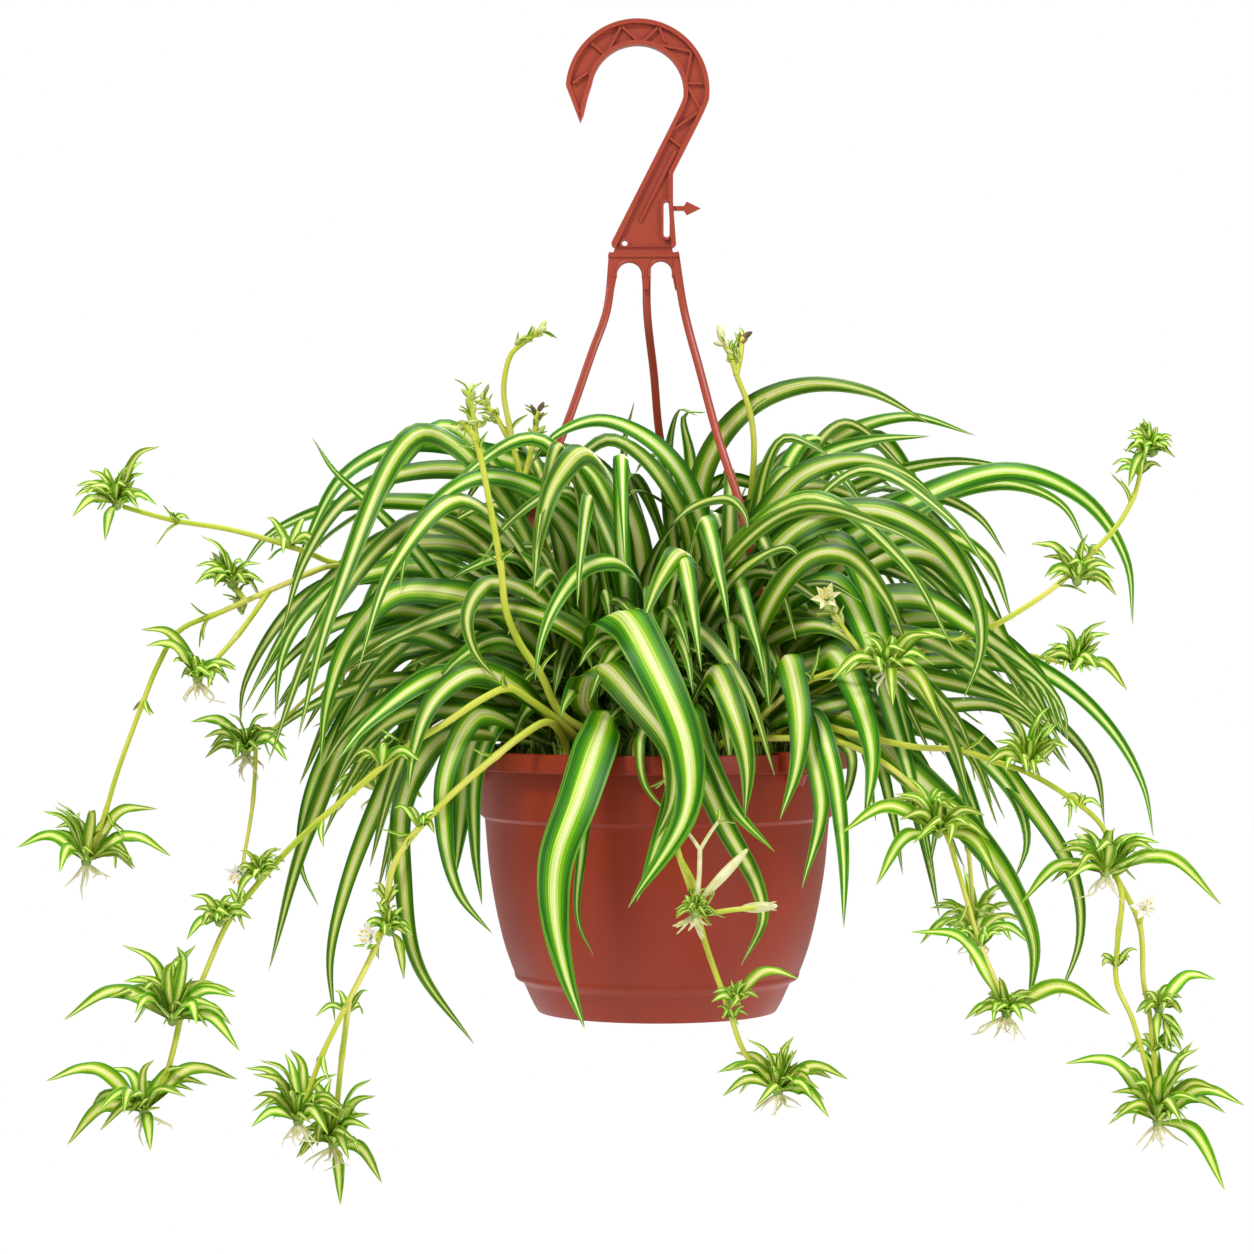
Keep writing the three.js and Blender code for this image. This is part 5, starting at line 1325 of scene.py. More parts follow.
# Leaves that fill in round the pot: the range of the heights of their bends, how far they reach
# and drop, the same for the front, and their widths.
FILL_APEX = (178, 330)
FILL_REACH, FILL_DROP = (150, 250), (40, 190)
FILL_FRONT = (228, 312)
FILL_FRONT_REACH, FILL_FRONT_DROP, FILL_FRONT_LOWEST = 118, 60, 168
FILL_WIDTH = (9, 14)
# The smaller leaves inside a crown: reach, bend and drop, the same for the front, how far off
# the front that holds and from where on they are back ones, how they spread, and the widths.
INNER_LEAVES = 24
INNER_REACH, INNER_APEX, INNER_DROP = (60, 195), (178, 322), (10, 140)
INNER_FRONT, INNER_BACK, INNER_BACK_SHARE = 48, 140, 0.8
INNER_SPREAD, INNER_SWING, INNER_LEAN, INNER_TWIST = 150, 9, (30, 66), 0.4
INNER_FRONT_REACH, INNER_FRONT_APEX, INNER_FRONT_DROP = (35, 78), (172, 250), (0, 40)
INNER_WIDTH = (12, 18)
# Leaves that leave the pot low, over its rim, in the same order.
LOW_LEAVES = 9
LOW_REACH, LOW_RISE, LOW_DROP = (85, 155), (26, 66), (10, 95)
LOW_FRONT, LOW_FRONT_REACH, LOW_FRONT_DROP = 50, (40, 74), (0, 22)
LOW_WIDTH, LOW_SPREAD, LOW_LEAN = (9, 15), 62, (35, 62)
# Short leaves close round a crown.
BASAL_LEAVES = 12
BASAL_REACH, BASAL_RISE, BASAL_WIDTH = (16, 50), (24, 90), (9, 14)
BASAL_SWING, BASAL_TILT = 12, 0.5
# How many stations the blades of each kind have, and how far they ripple and turn to face out.
STATIONS = {"long": 64, "more": 48, "inner": 42, "low": 34, "basal": 20}
LONG_WAVE, MORE_WAVE, SMALL_WAVE = 0.035, 0.03, 0.04
LONG_FACING, MORE_FACING, INNER_FACING, LOW_FACING = 0.62, 0.6, (0.3, 0.65), 0.4
LONG_WIDER = 1.1
LONG_FULLNESS = 3
CROWN_CORE = [(0, CROWN_BOTTOM - CROWN_MIDDLE), (9.5, CROWN_BOTTOM - CROWN_MIDDLE),
              (CROWN_RADIUS - 0.5, -6), (8.5, 3), (5, 9), (0, 11)]
CORE_EDGE, CORE_SEGMENTS = 3, 18


def crown_azimuth(index):
    return CROWN_FIRST + index * 360 / CROWNS


def nearest_crown(point):
    return round((azimuth_of(point) - CROWN_FIRST) / (360 / CROWNS)) % CROWNS


def fill_leaf(index):
    """A leaf that fills in round the pot, by the same rule as its solid."""
    azimuth = (index * GOLDEN_ANGLE) % 360
    apex = between(*FILL_APEX, 1 - fraction(index, 0.755))
    if FILL_FRONT[0] < azimuth < FILL_FRONT[1]:
        reach, tip = FILL_FRONT_REACH, max(FILL_FRONT_LOWEST, apex - FILL_FRONT_DROP)
    else:
        reach = between(*FILL_REACH, fraction(index, 0.57))
        tip = apex - between(*FILL_DROP, fraction(index, 0.819))
    steps = [(0.2, 0, SOIL_TOP + 0.72 * (apex - SOIL_TOP)), (0.55, 3, apex),
             (0.86, 5, 0.45 * apex + 0.55 * tip)]
    return [between(*FILL_WIDTH, fraction(index, 0.333)),
            *(polar(CROWN_RING + share * (reach - CROWN_RING), azimuth + turn, height)
              for share, turn, height in steps), polar(reach, azimuth + 6, tip)]


def leaf_points(route, centre, turn=0):
    turned = [swung(point, centre, turn) for point in route]
    outward = turned[0] - centre
    outward.z = 0
    return [centre + outward.normalized() * LEAF_FOOT, *turned]


def leaf_tilt(points):
    heading = points[-1] - points[0]
    heading.z = 0
    return side_of(points[-1], LEAF_DEPTH) * math.radians(LEAF_LEAN) * heading.normalized().x


def sideways_tilt(centre, azimuth, lean):
    """How a leaf leans towards the near side, by how far it heads to the left or the right."""
    return side_of(centre, INNER_DEPTH) * math.radians(lean) * math.cos(math.radians(azimuth))


def inner_leaf(centre, outward, rng):
    """One of the smaller leaves that fill a crown, as its width, its route and its tilt."""
    azimuth = outward + rng.triangular(-INNER_SPREAD, INNER_SPREAD, 0)
    off_front = angle_between(azimuth, FRONT)
    long = rng.random()
    reach = between(*INNER_REACH, long)
    apex = rng.uniform(*INNER_APEX)
    drop = between(*INNER_DROP, rng.random() * long)
    if off_front < INNER_FRONT:
        reach, drop = rng.uniform(*INNER_FRONT_REACH), rng.uniform(*INNER_FRONT_DROP)
        apex = rng.uniform(*INNER_FRONT_APEX)
    if off_front > INNER_BACK:
        reach, drop = reach * INNER_BACK_SHARE, drop * INNER_BACK_SHARE
    swing = rng.uniform(-INNER_SWING, INNER_SWING)
    rise = apex - CROWN_MIDDLE
    route = route_from(centre, azimuth, [
        (0.16 * reach + 4, 0, 0.66 * rise), (0.5 * reach, swing * 0.4, rise),
        (0.82 * reach, swing, rise - 0.42 * drop), (reach, swing * 1.4, rise - drop)])
    return rng.uniform(*INNER_WIDTH), route, sideways_tilt(centre, azimuth, rng.uniform(*INNER_LEAN))


def low_leaf(centre, outward, rng):
    """A leaf that leaves the pot low, over its rim, as its route and its tilt."""
    azimuth = outward + rng.uniform(-LOW_SPREAD, LOW_SPREAD)
    reach, rise, drop = rng.uniform(*LOW_REACH), rng.uniform(*LOW_RISE), rng.uniform(*LOW_DROP)
    if angle_between(azimuth, FRONT) < LOW_FRONT:
        reach, drop = rng.uniform(*LOW_FRONT_REACH), rng.uniform(*LOW_FRONT_DROP)
    route = route_from(centre, azimuth, [
        (0.2 * reach, 0, 0.75 * rise), (0.5 * reach, 2, rise), (0.82 * reach, 6, rise - 0.45 * drop),
        (reach, 9, rise - drop)])
    return route, sideways_tilt(centre, azimuth, rng.uniform(*LOW_LEAN))


def basal_leaf(centre, rng):
    """A short, broad leaf close round its crown."""
    azimuth, reach, rise = rng.uniform(0, 360), rng.uniform(*BASAL_REACH), rng.uniform(*BASAL_RISE)
    return route_from(centre, azimuth, [
        (0.25 * reach, 0, 0.55 * rise), (0.6 * reach, 0, rise),
        (reach, rng.uniform(-BASAL_SWING, BASAL_SWING), rise * rng.uniform(0.4, 0.9))])


def add_small_leaves(skin, centre, outward, rng):
    """The leaves of a crown that don't show singly."""
    for _ in range(INNER_LEAVES):
        width, route, tilt = inner_leaf(centre, outward, rng)
        # Darker than the long leaves: painted shade inside the crown.
        skin.vary(rng, 0.62, 1.0, 0.8)
        blade(skin, leaf_points(route, centre), width, tilt, STATIONS["inner"], rng.uniform(0, SMALL_WAVE),
              twist=rng.uniform(-INNER_TWIST, INNER_TWIST), facing=rng.uniform(*INNER_FACING))
    for _ in range(LOW_LEAVES):
        route, tilt = low_leaf(centre, outward, rng)
        # Darker still: painted shade low over the rim.
        skin.vary(rng, 0.6, 0.95, 0.7)
        blade(skin, leaf_points(route, centre), rng.uniform(*LOW_WIDTH), tilt, STATIONS["low"],
              rng.uniform(0, SMALL_WAVE), facing=LOW_FACING)
    for _ in range(BASAL_LEAVES):
        # Darkest of a crown's leaves: painted shade close round its heart.
        skin.vary(rng, 0.5, 0.9, 0.5)
        blade(skin, leaf_points(basal_leaf(centre, rng), centre), rng.uniform(*BASAL_WIDTH),
              rng.uniform(-BASAL_TILT, BASAL_TILT), STATIONS["basal"], facing=LOW_FACING)


def make_crowns():
    routes = [[width, *spots(route)] for width, *route in LEAVES]
    routes += [fill_leaf(index) for index in range(FILL_COUNT)]
    for crown in range(CROWNS):
        rng = random.Random(100 + crown)
        centre = polar(CROWN_RING, crown_azimuth(crown), CROWN_MIDDLE)
        corners = corners_of(f"crown_{crown + 1}")
        skin = Skin()
        for width, *route in routes:
            if nearest_crown(route[-1]) != crown:
                continue
            turn = best_turn(corners, route[-1], centre, TURNS)
            skin.vary(rng, 0.8, 1.15)
            wave = rng.uniform(0, LONG_WAVE)
            if turn is not None:
                points = leaf_points(route, centre, turn)
                blade(skin, points, width * LONG_WIDER, leaf_tilt(points), STATIONS["long"], wave,
                      fullness=LONG_FULLNESS, facing=LONG_FACING)
        add_small_leaves(skin, centre, crown_azimuth(crown), rng)
        for width, *route in MORE_LEAVES:
            if nearest_crown(spot(route[-1])) == crown:
                points = leaf_points(spots(route), centre)
                skin.vary(rng, 0.8, 1.1)
                blade(skin, points, width, leaf_tilt(points), STATIONS["more"], rng.uniform(0, MORE_WAVE),
                      fullness=LONG_FULLNESS, facing=MORE_FACING)
        skin.look = 1
        lathed(skin, rounded(CROWN_CORE, CORE_EDGE), CORE_SEGMENTS, centre)
        skin.build(f"crown_{crown + 1}_leaves", [LEAF, HEART], "leaf", [f"crown_{crown + 1}"])


# ---------------------------------------------------------------- stems

STEM_TAPER = 0.62
STEM_BRANCH = 0.75
STEM_BOTTOM = 122.3
STALK_MORE = 0.5
STEM_STATION, STEM_SIDES = 4, 10
# The heights over the soil through which a stem leaves it.
STEM_RISES = (1, 10)
KNOT_EVERY = 62
KNOT_RISE = 0.35
KNOT_HALF = 2.2
# Knots inside this box, among the leaves over the pot, carry no bracts.
HIDDEN = Vector((118, 105, 175))
BRACTS = (2, 3, 3)
BRACT_LENGTHS, BRACT_WIDTHS = (9, 18), (2.6, 4.4)
CLUSTER = 7
CLUSTER_STEP = 2.6
CLUSTER_LENGTHS, CLUSTER_WIDTHS = (6, 10), (2.4, 3.6)
BUD_LENGTHS, BUD_RADII, WHITE_BUD = (5, 8), (0.9, 1.4), 1.5
# How far small leaves turn to face out.
SMALL_FACING = 0.4
# Which of a stem's materials a kind of bud has.
BUD_LOOKS = {"dry": 3, "white": 4}


def bract(skin, place, direction, lengths, widths, rng, out=0.9):
    """A small pointed leaf that stands out from a stem. out may also be the range of how far."""
    length, width = rng.uniform(*lengths), rng.uniform(*widths)
    out = rng.uniform(*out) if isinstance(out, tuple) else out
    side = aside(direction, rng.uniform(0, math.tau))
    skin.vary(rng, 0.7, 1.1)
    heading = (direction * rng.uniform(0.7, 1.0) + side * out).normalized()
    points = [place, place + heading * length * 0.5, place + (heading * 0.92 + side * 0.35) * length]
    small_blade(skin, points, width, rng.uniform(-0.6, 0.6), 9, 1.8)


def side_lean(arch, rng):
    """How a small leaf leans, so that its face shows from the near side of the plant."""
    heading = (arch[-1] - arch[0]).normalized()
    return side_of(arch[0], SMALL_DEPTH) * heading.x * rng.uniform(0.5, 1.1) + rng.uniform(-0.25, 0.25)


def tuft(skin, place, length, count, rng):
    """A few small leaves that fan out from one place on a stem."""
    for index in range(count):
        azimuth = index * GOLDEN_ANGLE + rng.uniform(-20, 20)
        steep = rng.uniform(-0.3, 1)
        reach = length * rng.uniform(0.7, 1.15)
        skin.vary(rng, 0.8, 1.15)
        arch = route_from(place, azimuth, [
            (0, 0, 0), (0.45 * reach, 0, (0.3 + 0.4 * steep) * reach),
            ((1 - 0.4 * abs(steep)) * reach, rng.uniform(-20, 20), 0.75 * steep * reach)])
        small_blade(skin, arch, 2 + 0.2 * length, side_lean(arch, rng), facing=SMALL_FACING)


def bud(skin, place, direction, length, radius):
    """A closed bud: a slim spindle."""
    path = [(place + direction * length * step / 8, direction) for step in range(9)]
    skin.tube(path, lambda along: radius * (0.25 + math.sin(math.pi * min(1, along * 0.86 + 0.1)) ** 0.8), 8)


def bud_cluster(skin, place, direction, kind, rng):
    """The growing end of a stalk: small bracts and buds, set one above another."""
    for index in range(CLUSTER):
        side = aside(direction, math.radians(index * GOLDEN_ANGLE))
        heading = (direction + side * rng.uniform(0.35, 0.9)).normalized()
        foot = place - direction * (CLUSTER_STEP * index)
        skin.look = 1
        bract(skin, foot, direction, CLUSTER_LENGTHS, CLUSTER_WIDTHS, rng, (0.4, 1.0))
        skin.look = BUD_LOOKS.get(kind, 2) if index < 3 else 2
        grown = WHITE_BUD if kind == "white" and index == 0 else 1.0
        bud(skin, foot, heading, rng.uniform(*BUD_LENGTHS) * grown, rng.uniform(*BUD_RADII) * grown)


def make_stem(name):
    rng = random.Random(name)
    skin = Skin()
    foot, radius, routes = STEMS[name]
    radius += STALK_MORE if name.startswith("stalk") else 0
    ways = [spots(route) for route in routes]
    rises = [SOIL_TOP + SOIL_DOME + rise for rise in STEM_RISES]
    ways[0] = [Vector((*foot, height)) for height in (STEM_BOTTOM, *rises)] + ways[0]
    trail = []
    for index, points in enumerate(ways):
        long = length_of(points)
        path = walk(points, max(12, int(long / STEM_STATION)))
        branch = STEM_BRANCH if index else 1
        skin.tone = rng.random()

        def thickness(along):
            knot = abs((along * long / KNOT_EVERY) % 1 - 0.5) * KNOT_EVERY
            return radius * branch * between(1, STEM_TAPER / branch, along) + KNOT_RISE * math.exp(
                -(knot / KNOT_HALF) ** 2)

        skin.look = 0
        skin.tube(path, thickness, STEM_SIDES)
        skin.look = 1
        for knot in range(1, int(long / KNOT_EVERY) + 1):
            share = (knot + 0.5) * KNOT_EVERY / long
            place, direction = path[min(len(path) - 1, int(share * (len(path) - 1)))]
            hidden = place.z < HIDDEN.z and abs(place.x) < HIDDEN.x and abs(place.y) < HIDDEN.y
            for _ in range(0 if hidden or share > 0.98 else rng.choice(BRACTS)):
                bract(skin, place, direction, BRACT_LENGTHS, BRACT_WIDTHS, rng)
        trail.extend(centre for centre, _ in path)
    for place, length, count in TUFTS.get(name, ()):
        nearest = min(trail, key=lambda centre: (centre - spot(place)).length)
        tuft(skin, nearest, length, count, rng)
    for place, direction, kind in BUDS.get(name, ()):
        bud_cluster(skin, spot(place), Vector(direction).normalized(), kind, rng)
    skin.build(f"{name}_stem", [STEM, YOUNG, BUD, DRY, BLOSSOM_BUD], "stem", [name])


# ---------------------------------------------------------------- plantlets

PLANTLET_RISE = 0.26
BLADE_APART = 32
# How steep the leaves of the rule stand, one after another.
STEEP = (0.08, 0.72, 0.3)
WIDER, PALE_WIDER = 1.35, 0.8
ARCH_MORE = 0.02
# The leaves inside: at least how many and how many more for each long one, and their spread.
INNER_LEAST, INNER_EACH, INNER_TURN = 7, 2, 12
CREST_LEAVES = 13
CREST_SHARE = 0.62
HEART_LEAVES = 9
HEART_LENGTHS, HEART_WIDTHS = (5, 10), (4, 5.5)
HEART_PROFILE = [(0, -3.4), (2.2, -2.2), (2.9, 0), (2.2, 2.4), (0, 3.4)]
HEART_EDGE, HEART_SEGMENTS = 1.4, 12
ROOTS_FOR_EACH = 4
ROOT_FIRST = 40
ROOT_LENGTH, ROOT_SHARES = 17, (0.45, 1.15)
ROOT_STEPS, ROOT_SIDES = 12, 7
ROOT_RADIUS = 1.25
LONG_BUD_RADIUS = 2.2
ARM_RADIUS, SIDE_STEM_RADIUS, SIDE_STEM_SIDES = 1.1, 1.3, 9
# Bracts that hang down from the pale buds, stand out to the sides, and sit on the arms' tips.
HANGING_BRACTS, SPREAD_BRACTS, TIP_BRACTS = 10, 7, 4


def plantlet_leaves(name, centre):
    """The leaves that the plantlet's solid may have, each as the points of its arch and a width."""
    at, _, length, leaves, _, tips = PLANTLETS[name]
    taken, arches = [], []
    for tip in spots(tips):
        reach = (tip - centre).length
        taken.append(azimuth_of(tip - centre))
        arches.append(([centre, (centre + tip) / 2 + up(PLANTLET_RISE * reach), tip],
                       min(8, 3.5 + 0.08 * reach)))
    for index in range(leaves):
        azimuth = (at[0] + index * 360 / leaves) % 360
        steep = STEEP[index % len(STEEP)]
        if any(angle_between(azimuth, other) < BLADE_APART for other in taken):
            continue
        reach = length * (0.78 + 0.22 * fraction(index, 0.755))
        arches.append((route_from(centre, azimuth, [
            (0, 0, 0), (reach * (0.5 - 0.26 * steep), 0, reach * (0.24 + 0.4 * steep)),
            (reach * (0.98 - 0.5 * steep), 8, reach * (0.95 * steep - 0.2))]), 2.4 + 0.11 * length))
    return arches


def crest(skin, foot, tip, rng):
    """Leaves set one above another along a short axis, shorter towards its tip."""
    axis = tip - foot
    long = axis.length
    axis.normalize()
    for index in range(CREST_LEAVES):
        share = index / (CREST_LEAVES - 1)
        turned = aside(axis, math.radians(index * GOLDEN_ANGLE))
        reach = between(0.75, 0.4, share) * long * rng.uniform(0.85, 1.15)
        start = foot + axis * long * CREST_SHARE * share
        skin.vary(rng, 0.85, 1.2)
        out = between(0.75, 0.3, share)
        arch = [start, start + (axis * 0.6 + turned * out * 0.75) * reach * 0.6,
                start + (axis + turned * out).normalized() * reach]
        small_blade(skin, arch, between(5, 3, share) + 0.04 * long, side_lean(arch, rng), facing=SMALL_FACING)


def add_inner_leaves(skin, centre, length, count, pale, rng):
    """Small leaves that fill a plantlet, longer where they stand steep."""
    for index in range(count):
        azimuth = index * GOLDEN_ANGLE + rng.uniform(-INNER_TURN, INNER_TURN)
        steep = rng.uniform(0.0, 1.0)
        long = rng.random()
        reach = length * between(0.55, 1.45, long * (0.45 + 0.55 * steep))
        skin.vary(rng, 0.7, 1.15)
        arch = route_from(centre, azimuth, [
            (0, 0, 0), (reach * (0.52 - 0.3 * steep), 0, reach * (0.16 + 0.44 * steep)),
            (reach * (1 - 0.5 * steep), rng.uniform(-25, 25), reach * (1.05 * steep - 0.22))])
        wide = between(2.5, 4, long) if pale else between(4, 4.5 + 0.13 * length, long)
        small_blade(skin, arch, wide, side_lean(arch, rng), facing=0.35)


def add_heart_leaves(skin, centre, rng):
    """The shortest leaves, all round the heart of a plantlet."""
    for index in range(HEART_LEAVES):
        steep = 1.3 * fraction(index, GOLDEN)
        skin.vary(rng, 0.6, 1.0)
        heading = polar(math.cos(steep), index * GOLDEN_ANGLE, math.sin(steep) + 0.1)
        length = rng.uniform(*HEART_LENGTHS)
        arch = [centre - heading, centre + heading * length * 0.55 + up(1),
                centre + heading * length + up(1.5)]
        small_blade(skin, arch, rng.uniform(*HEART_WIDTHS), 0, 8, 1.8, 0.5)


def add_roots(skin, centre, count, rng):
    for index in range(count):
        spread = rng.uniform(0.15, 1.0)
        length = ROOT_LENGTH * rng.uniform(*ROOT_SHARES)
        down = length * (1.1 - 0.6 * spread)
        way = route_from(centre - up(1.5), ROOT_FIRST + index * GOLDEN_ANGLE, [
            (0, 0, 0), (spread * 0.45 * length, 0, -0.35 * down),
            (spread * 0.8 * length, rng.uniform(-20, 20), -0.7 * down),
            (spread * length, rng.uniform(-50, 50), -down)])
        skin.tube(walk(way, ROOT_STEPS), lambda along: ROOT_RADIUS * (1 - 0.85 * along), ROOT_SIDES)


def add_pale_buds(skin, name, centre, rng):
    """A long bud, the bracts round it, and the forked side stem with bracts on its arms."""
    start, end = spots(LONG_BUDS[name])
    skin.look = 3
    bud(skin, start, (end - start).normalized(), (end - start).length, LONG_BUD_RADIUS)
    for _ in range(HANGING_BRACTS):
        down = Vector((rng.uniform(-0.7, 0.5), -0.4, -1)).normalized()
        bract(skin, centre, down, (8, 15), (2.6, 4.2), rng, (0.2, 0.8))
    skin.look = 0
    for _ in range(SPREAD_BRACTS):
        across = Vector((rng.choice((-1, 1)), -0.3, rng.uniform(-0.4, 0.5))).normalized()
        bract(skin, centre, across, (10, 17), (2.6, 4), rng, (0.1, 0.5))
    fork, *tips = spots(SIDE_STEM)
    skin.look = 3
    skin.tube(walk([centre, centre.lerp(fork, 0.5) + Vector((0.8, 0, 0)), fork], 14),
              lambda along: SIDE_STEM_RADIUS, SIDE_STEM_SIDES)
    for tip in tips:
        skin.look = 3
        skin.tube(walk([fork - up(1), fork.lerp(tip, 0.5), tip], 8),
                  lambda along: ARM_RADIUS - 0.2 * along, SIDE_STEM_SIDES)
        skin.look = 0
        for _ in range(TIP_BRACTS):
            bract(skin, tip, (tip - fork).normalized(), (5, 10), (2, 3.4), rng, 0.8)


def make_plantlet(name):
    rng = random.Random("plantlet " + name)
    node = f"plantlet_{name}"
    at, grow, length, leaves, roots, _ = PLANTLETS[name]
    centre = spot(at) + Vector(grow)
    corners = corners_of(node)
    skin = Skin()
    pale = name in LONG_BUDS
    for points, width in plantlet_leaves(name, centre):
        turn = best_turn(corners, points[-1], centre, SWINGS)
        skin.vary(rng, 0.8, 1.15)
        if turn is not None:
            arch = [swung(point, centre, turn) for point in points]
            arch[1] = arch[1] + up(ARCH_MORE * (arch[2] - arch[0]).length)
            blade(skin, arch, width * (PALE_WIDER if pale else WIDER), side_lean(arch, rng), 24,
                  rng.uniform(0, 0.05), 0.4, 0.3, 1.9, facing=0.45)
    add_inner_leaves(skin, centre, length, INNER_LEAST + INNER_EACH * leaves, pale, rng)
    add_heart_leaves(skin, centre, rng)
    if name in CRESTS:
        crest(skin, centre, spot(CRESTS[name]), rng)
    skin.look = 1
    lathed(skin, rounded(HEART_PROFILE, HEART_EDGE), HEART_SEGMENTS, centre)
    skin.look = 2
    add_roots(skin, centre, ROOTS_FOR_EACH * roots, rng)
    if pale:
        add_pale_buds(skin, name, centre, rng)
    skin.build(f"{node}_leaves", [YOUNG, HEART, ROOT, BLOSSOM_BUD], "plantlet", [node])


# ---------------------------------------------------------------- flowers

PETALS = 6
PETAL_TURN = 360 / PETALS
PETAL_LENGTH = 9.3
PETAL_WIDTHS = (3.2, 4.0)
PETAL_STEPS = 8
PETAL_THICKNESS = 0.22
CLOSED_BELOW = 0.4
# The bud of a closed flower, along its axis, and how far its petals shift back along it.
CLOSED_BUD = (-15, 19, 2.3)
CLOSED_BACK = 6
CLOSED_NARROWER = 0.8
FLOWER_HEIGHT = 2.9
# Stamens: how far out and how high their tips are, how far they stray, and their radii.
STAMEN_OUT, STAMEN_HEIGHT, STAMEN_STRAY = 2.6, 5.5, 8
FILAMENT_RADIUS, ANTHER_RADIUS, ANTHER_STEP = 0.28, 0.55, 0.6
OVARY = [(0, -2.4), (1.2, -1.9), (1.9, 0), (1, 1.4), (0, 1.8)]
OVARY_EDGE, OVARY_SEGMENTS = 0.8, 12


def petal(skin, place, turn, azimuth, width, open_share):
    """A pointed, cupped petal. open_share is 1 when it lies flat and 0 when it stands closed."""
    flat = math.radians(90 * open_share)
    points = []
    for share in (0, 0.35, 0.7, 1):
        out = PETAL_LENGTH * share * math.sin(flat) * (1 - 0.1 * share)
        height = PETAL_LENGTH * share * math.cos(flat) + 1.2 * math.sin(math.pi * share * 0.6)
        points.append(place(polar(out + 0.5, azimuth, height)))
    *path, (tip, _) = walk(points, PETAL_STEPS)
    level = (turn @ polar(1, azimuth + 90, 0)).normalized()
    rings = []
    for step, (centre, direction) in enumerate(path):
        share = step / PETAL_STEPS
        fullness = 0.35 + 0.9 * math.sin(math.pi * min(1, share * 0.8 + 0.12)) ** 1.1
        half = width / 2 * fullness * (1 - share ** 3)
        normal = direction.cross(level).normalized()
        upper = [centre + level * half * side + normal * 0.3 * half * side * side
                 for side in (-1, -0.5, 0, 0.5, 1)]
        lower = [point + normal * -PETAL_THICKNESS for point in upper[1:-1]]
        rings.append(skin.ring(upper + lower[::-1], share))
    skin.loft(rings, tip)


def make_flower(name):
    rng = random.Random("flower " + name)
    at, facing, opened = FLOWERS[name]
    front = Vector(facing).normalized()
    centre = spot(at) + front * FLOWER_HEIGHT
    turn = up(1).rotation_difference(front).to_matrix()

    def place(point):
        return turn @ point + centre

    skin = Skin()
    closed = opened < CLOSED_BELOW
    if closed:
        foot, length, radius = CLOSED_BUD
        skin.look = 3
        bud(skin, place(up(foot)), front, length, radius)
        centre = centre - front * CLOSED_BACK
    paler = 3 if name in CREAM_FLOWERS else 0
    skin.look = paler
    for index in range(PETALS):
        wide = PETAL_WIDTHS[index % 2] * (CLOSED_NARROWER if closed else 1)
        petal(skin, place, turn, index * PETAL_TURN, wide, opened + rng.uniform(-0.05, 0.05))
    for index in range(0 if closed else PETALS):
        azimuth = (index + 0.5) * PETAL_TURN + rng.uniform(-STAMEN_STRAY, STAMEN_STRAY)
        tip = polar(STAMEN_OUT, azimuth, STAMEN_HEIGHT)
        skin.look = paler
        skin.tube(walk([place(up(0.5)), place(tip * 0.6), place(tip)], 5), lambda along: FILAMENT_RADIUS, 6)
        skin.look = 1
        skin.tube([(place(tip + up(step * ANTHER_STEP)), turn @ up(1)) for step in range(4)],
                  lambda along: ANTHER_RADIUS, 6)
    skin.look = 2
    lathe(skin, rounded(OVARY, OVARY_EDGE), OVARY_SEGMENTS, place)
    skin.build(f"flower_{name}_bloom", [PETAL, STAMEN, HEART, BLOSSOM_BUD], "flower", [f"flower_{name}"])


# ---------------------------------------------------------------- the plant

make_pot()
make_soil()
make_hanger()
make_crowns()
for make, titles in ((make_stem, STEMS), (make_plantlet, PLANTLETS), (make_flower, FLOWERS)):
    for title in titles:
        make(title)

# ---------------------------------------------------------------- stage, light and camera

FLOOR_BELOW = 0.38
FLOOR_HALF = 1.45
FLOOR_COLOUR = (0.9, 0.9, 0.9, 1)
AMBIENT = 0.48
AIM = Vector((0, 0, -0.35))
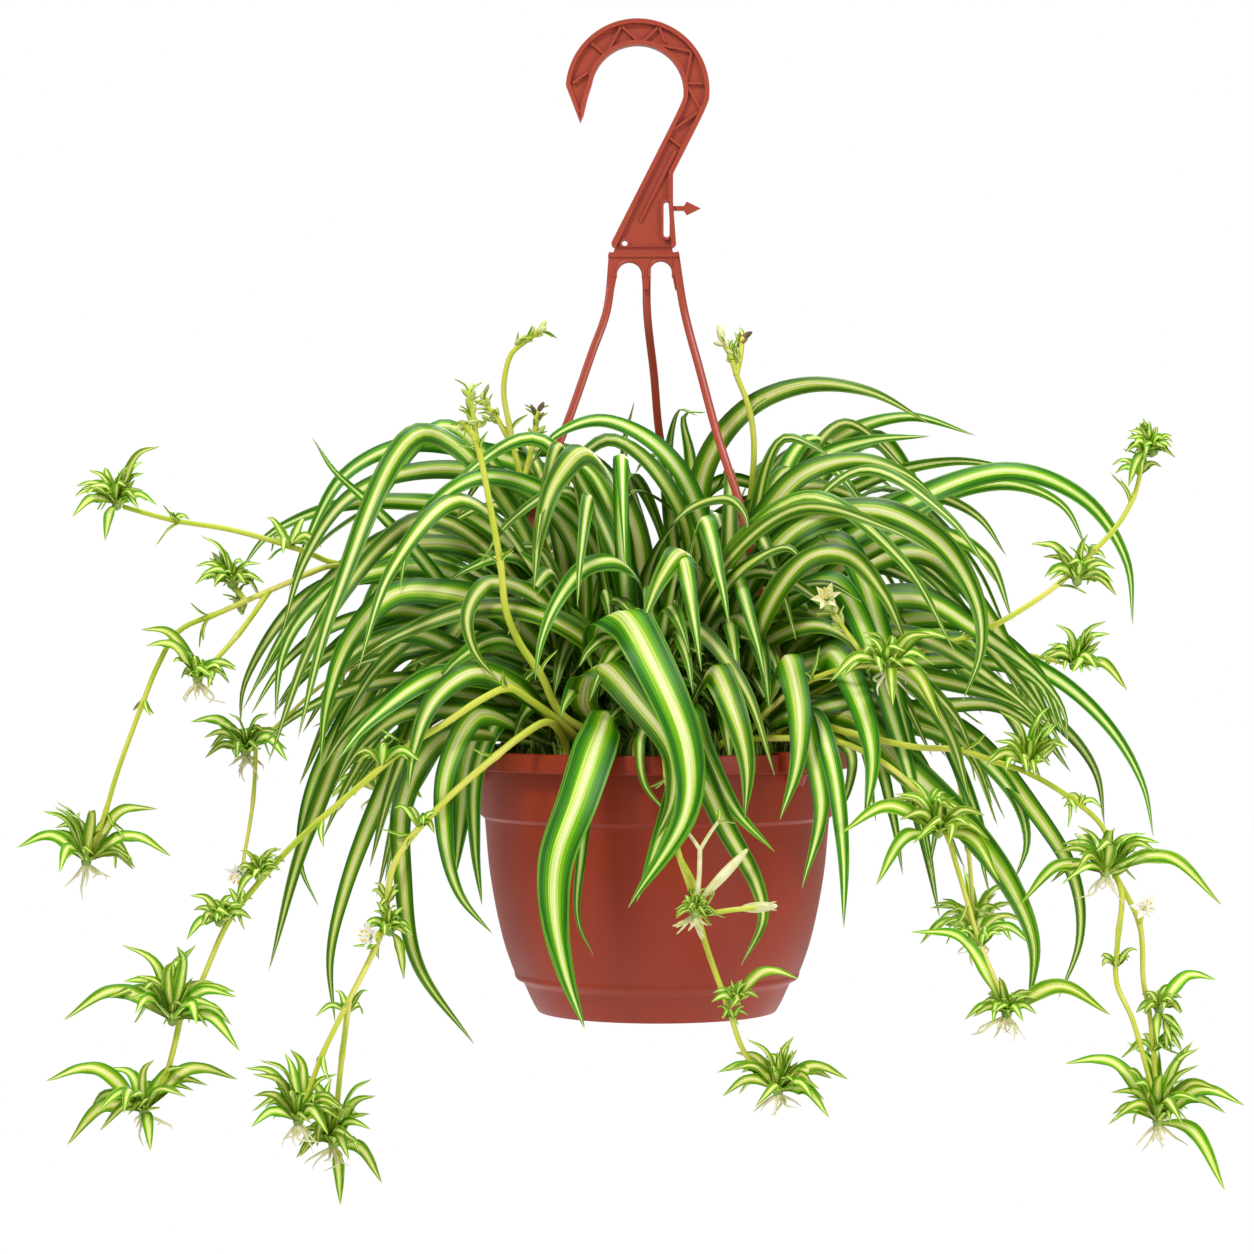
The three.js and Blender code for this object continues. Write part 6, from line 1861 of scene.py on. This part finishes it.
# Each lamp's place and diameter in metres, and its power in watts.
LAMPS = {
    "key": ((-0.8, -1.4, 1.3), 0.5, 28),
    "fill": ((1.6, -1.3, 0.0), 1.0, 16),
    "top": ((0.1, 0.2, 1.3), 0.7, 16),
    "back": ((0.7, 1.7, 0.7), 0.8, 24),
}


def make_floor():
    low = CAD_BOX[0].z - FLOOR_BELOW
    mesh = bpy.data.meshes.new("floor")
    corners = [(x * FLOOR_HALF, y * FLOOR_HALF, low) for x, y in ((-1, -1), (1, -1), (1, 1), (-1, 1))]
    mesh.from_pydata(corners, [], [(0, 1, 2, 3)])
    mesh.materials.append(Look("pale_floor", roughness=0.8).colour(FLOOR_COLOUR))
    floor = added("floor", mesh)


def make_lamp(name, place, size, power):
    light = bpy.data.lights.new(name, "AREA")
    light.shape, light.size, light.energy = "DISK", size, power
    thing = added(name, light)
    thing.location = place
    thing.rotation_mode = "QUATERNION"
    thing.rotation_quaternion = (AIM - Vector(place)).to_track_quat("-Z", "Y")


def make_camera():
    """Level with the middle of the leaves, then tipped down a little to frame the picture."""
    focal = EYE_DISTANCE / MM_PER_PIXEL
    camera = bpy.data.cameras.new("camera")
    camera.lens = focal * camera.sensor_width / PICTURE
    thing = added("camera", camera)
    thing.location = in_frame(Vector((EYE_X, -EYE_DISTANCE, EYE_Z)))
    down = math.atan((PICTURE / 2 - PIXEL_DOWN) / focal)
    thing.rotation_euler = (math.pi / 2 - down, 0, 0)
    bpy.context.scene.camera = thing


def make_light():
    """A white studio: the background shows white, and gives less light than it shows."""
    world = bpy.data.worlds.new("world")
    bpy.context.scene.world = world
    world.use_nodes = True
    tree = world.node_tree
    background = tree.nodes["Background"]
    background.inputs["Color"].default_value = (1, 1, 1, 1)
    seen = tree.nodes.new("ShaderNodeLightPath")
    strength = tree.nodes.new("ShaderNodeMapRange")
    strength.inputs["To Min"].default_value = AMBIENT
    tree.links.new(seen.outputs["Is Camera Ray"], strength.inputs["Value"])
    tree.links.new(strength.outputs[0], background.inputs["Strength"])
    for name, (place, size, power) in LAMPS.items():
        make_lamp(name, place, size, power)
    bpy.context.scene.view_settings.view_transform = "Standard"


make_floor()
make_camera()
make_light()
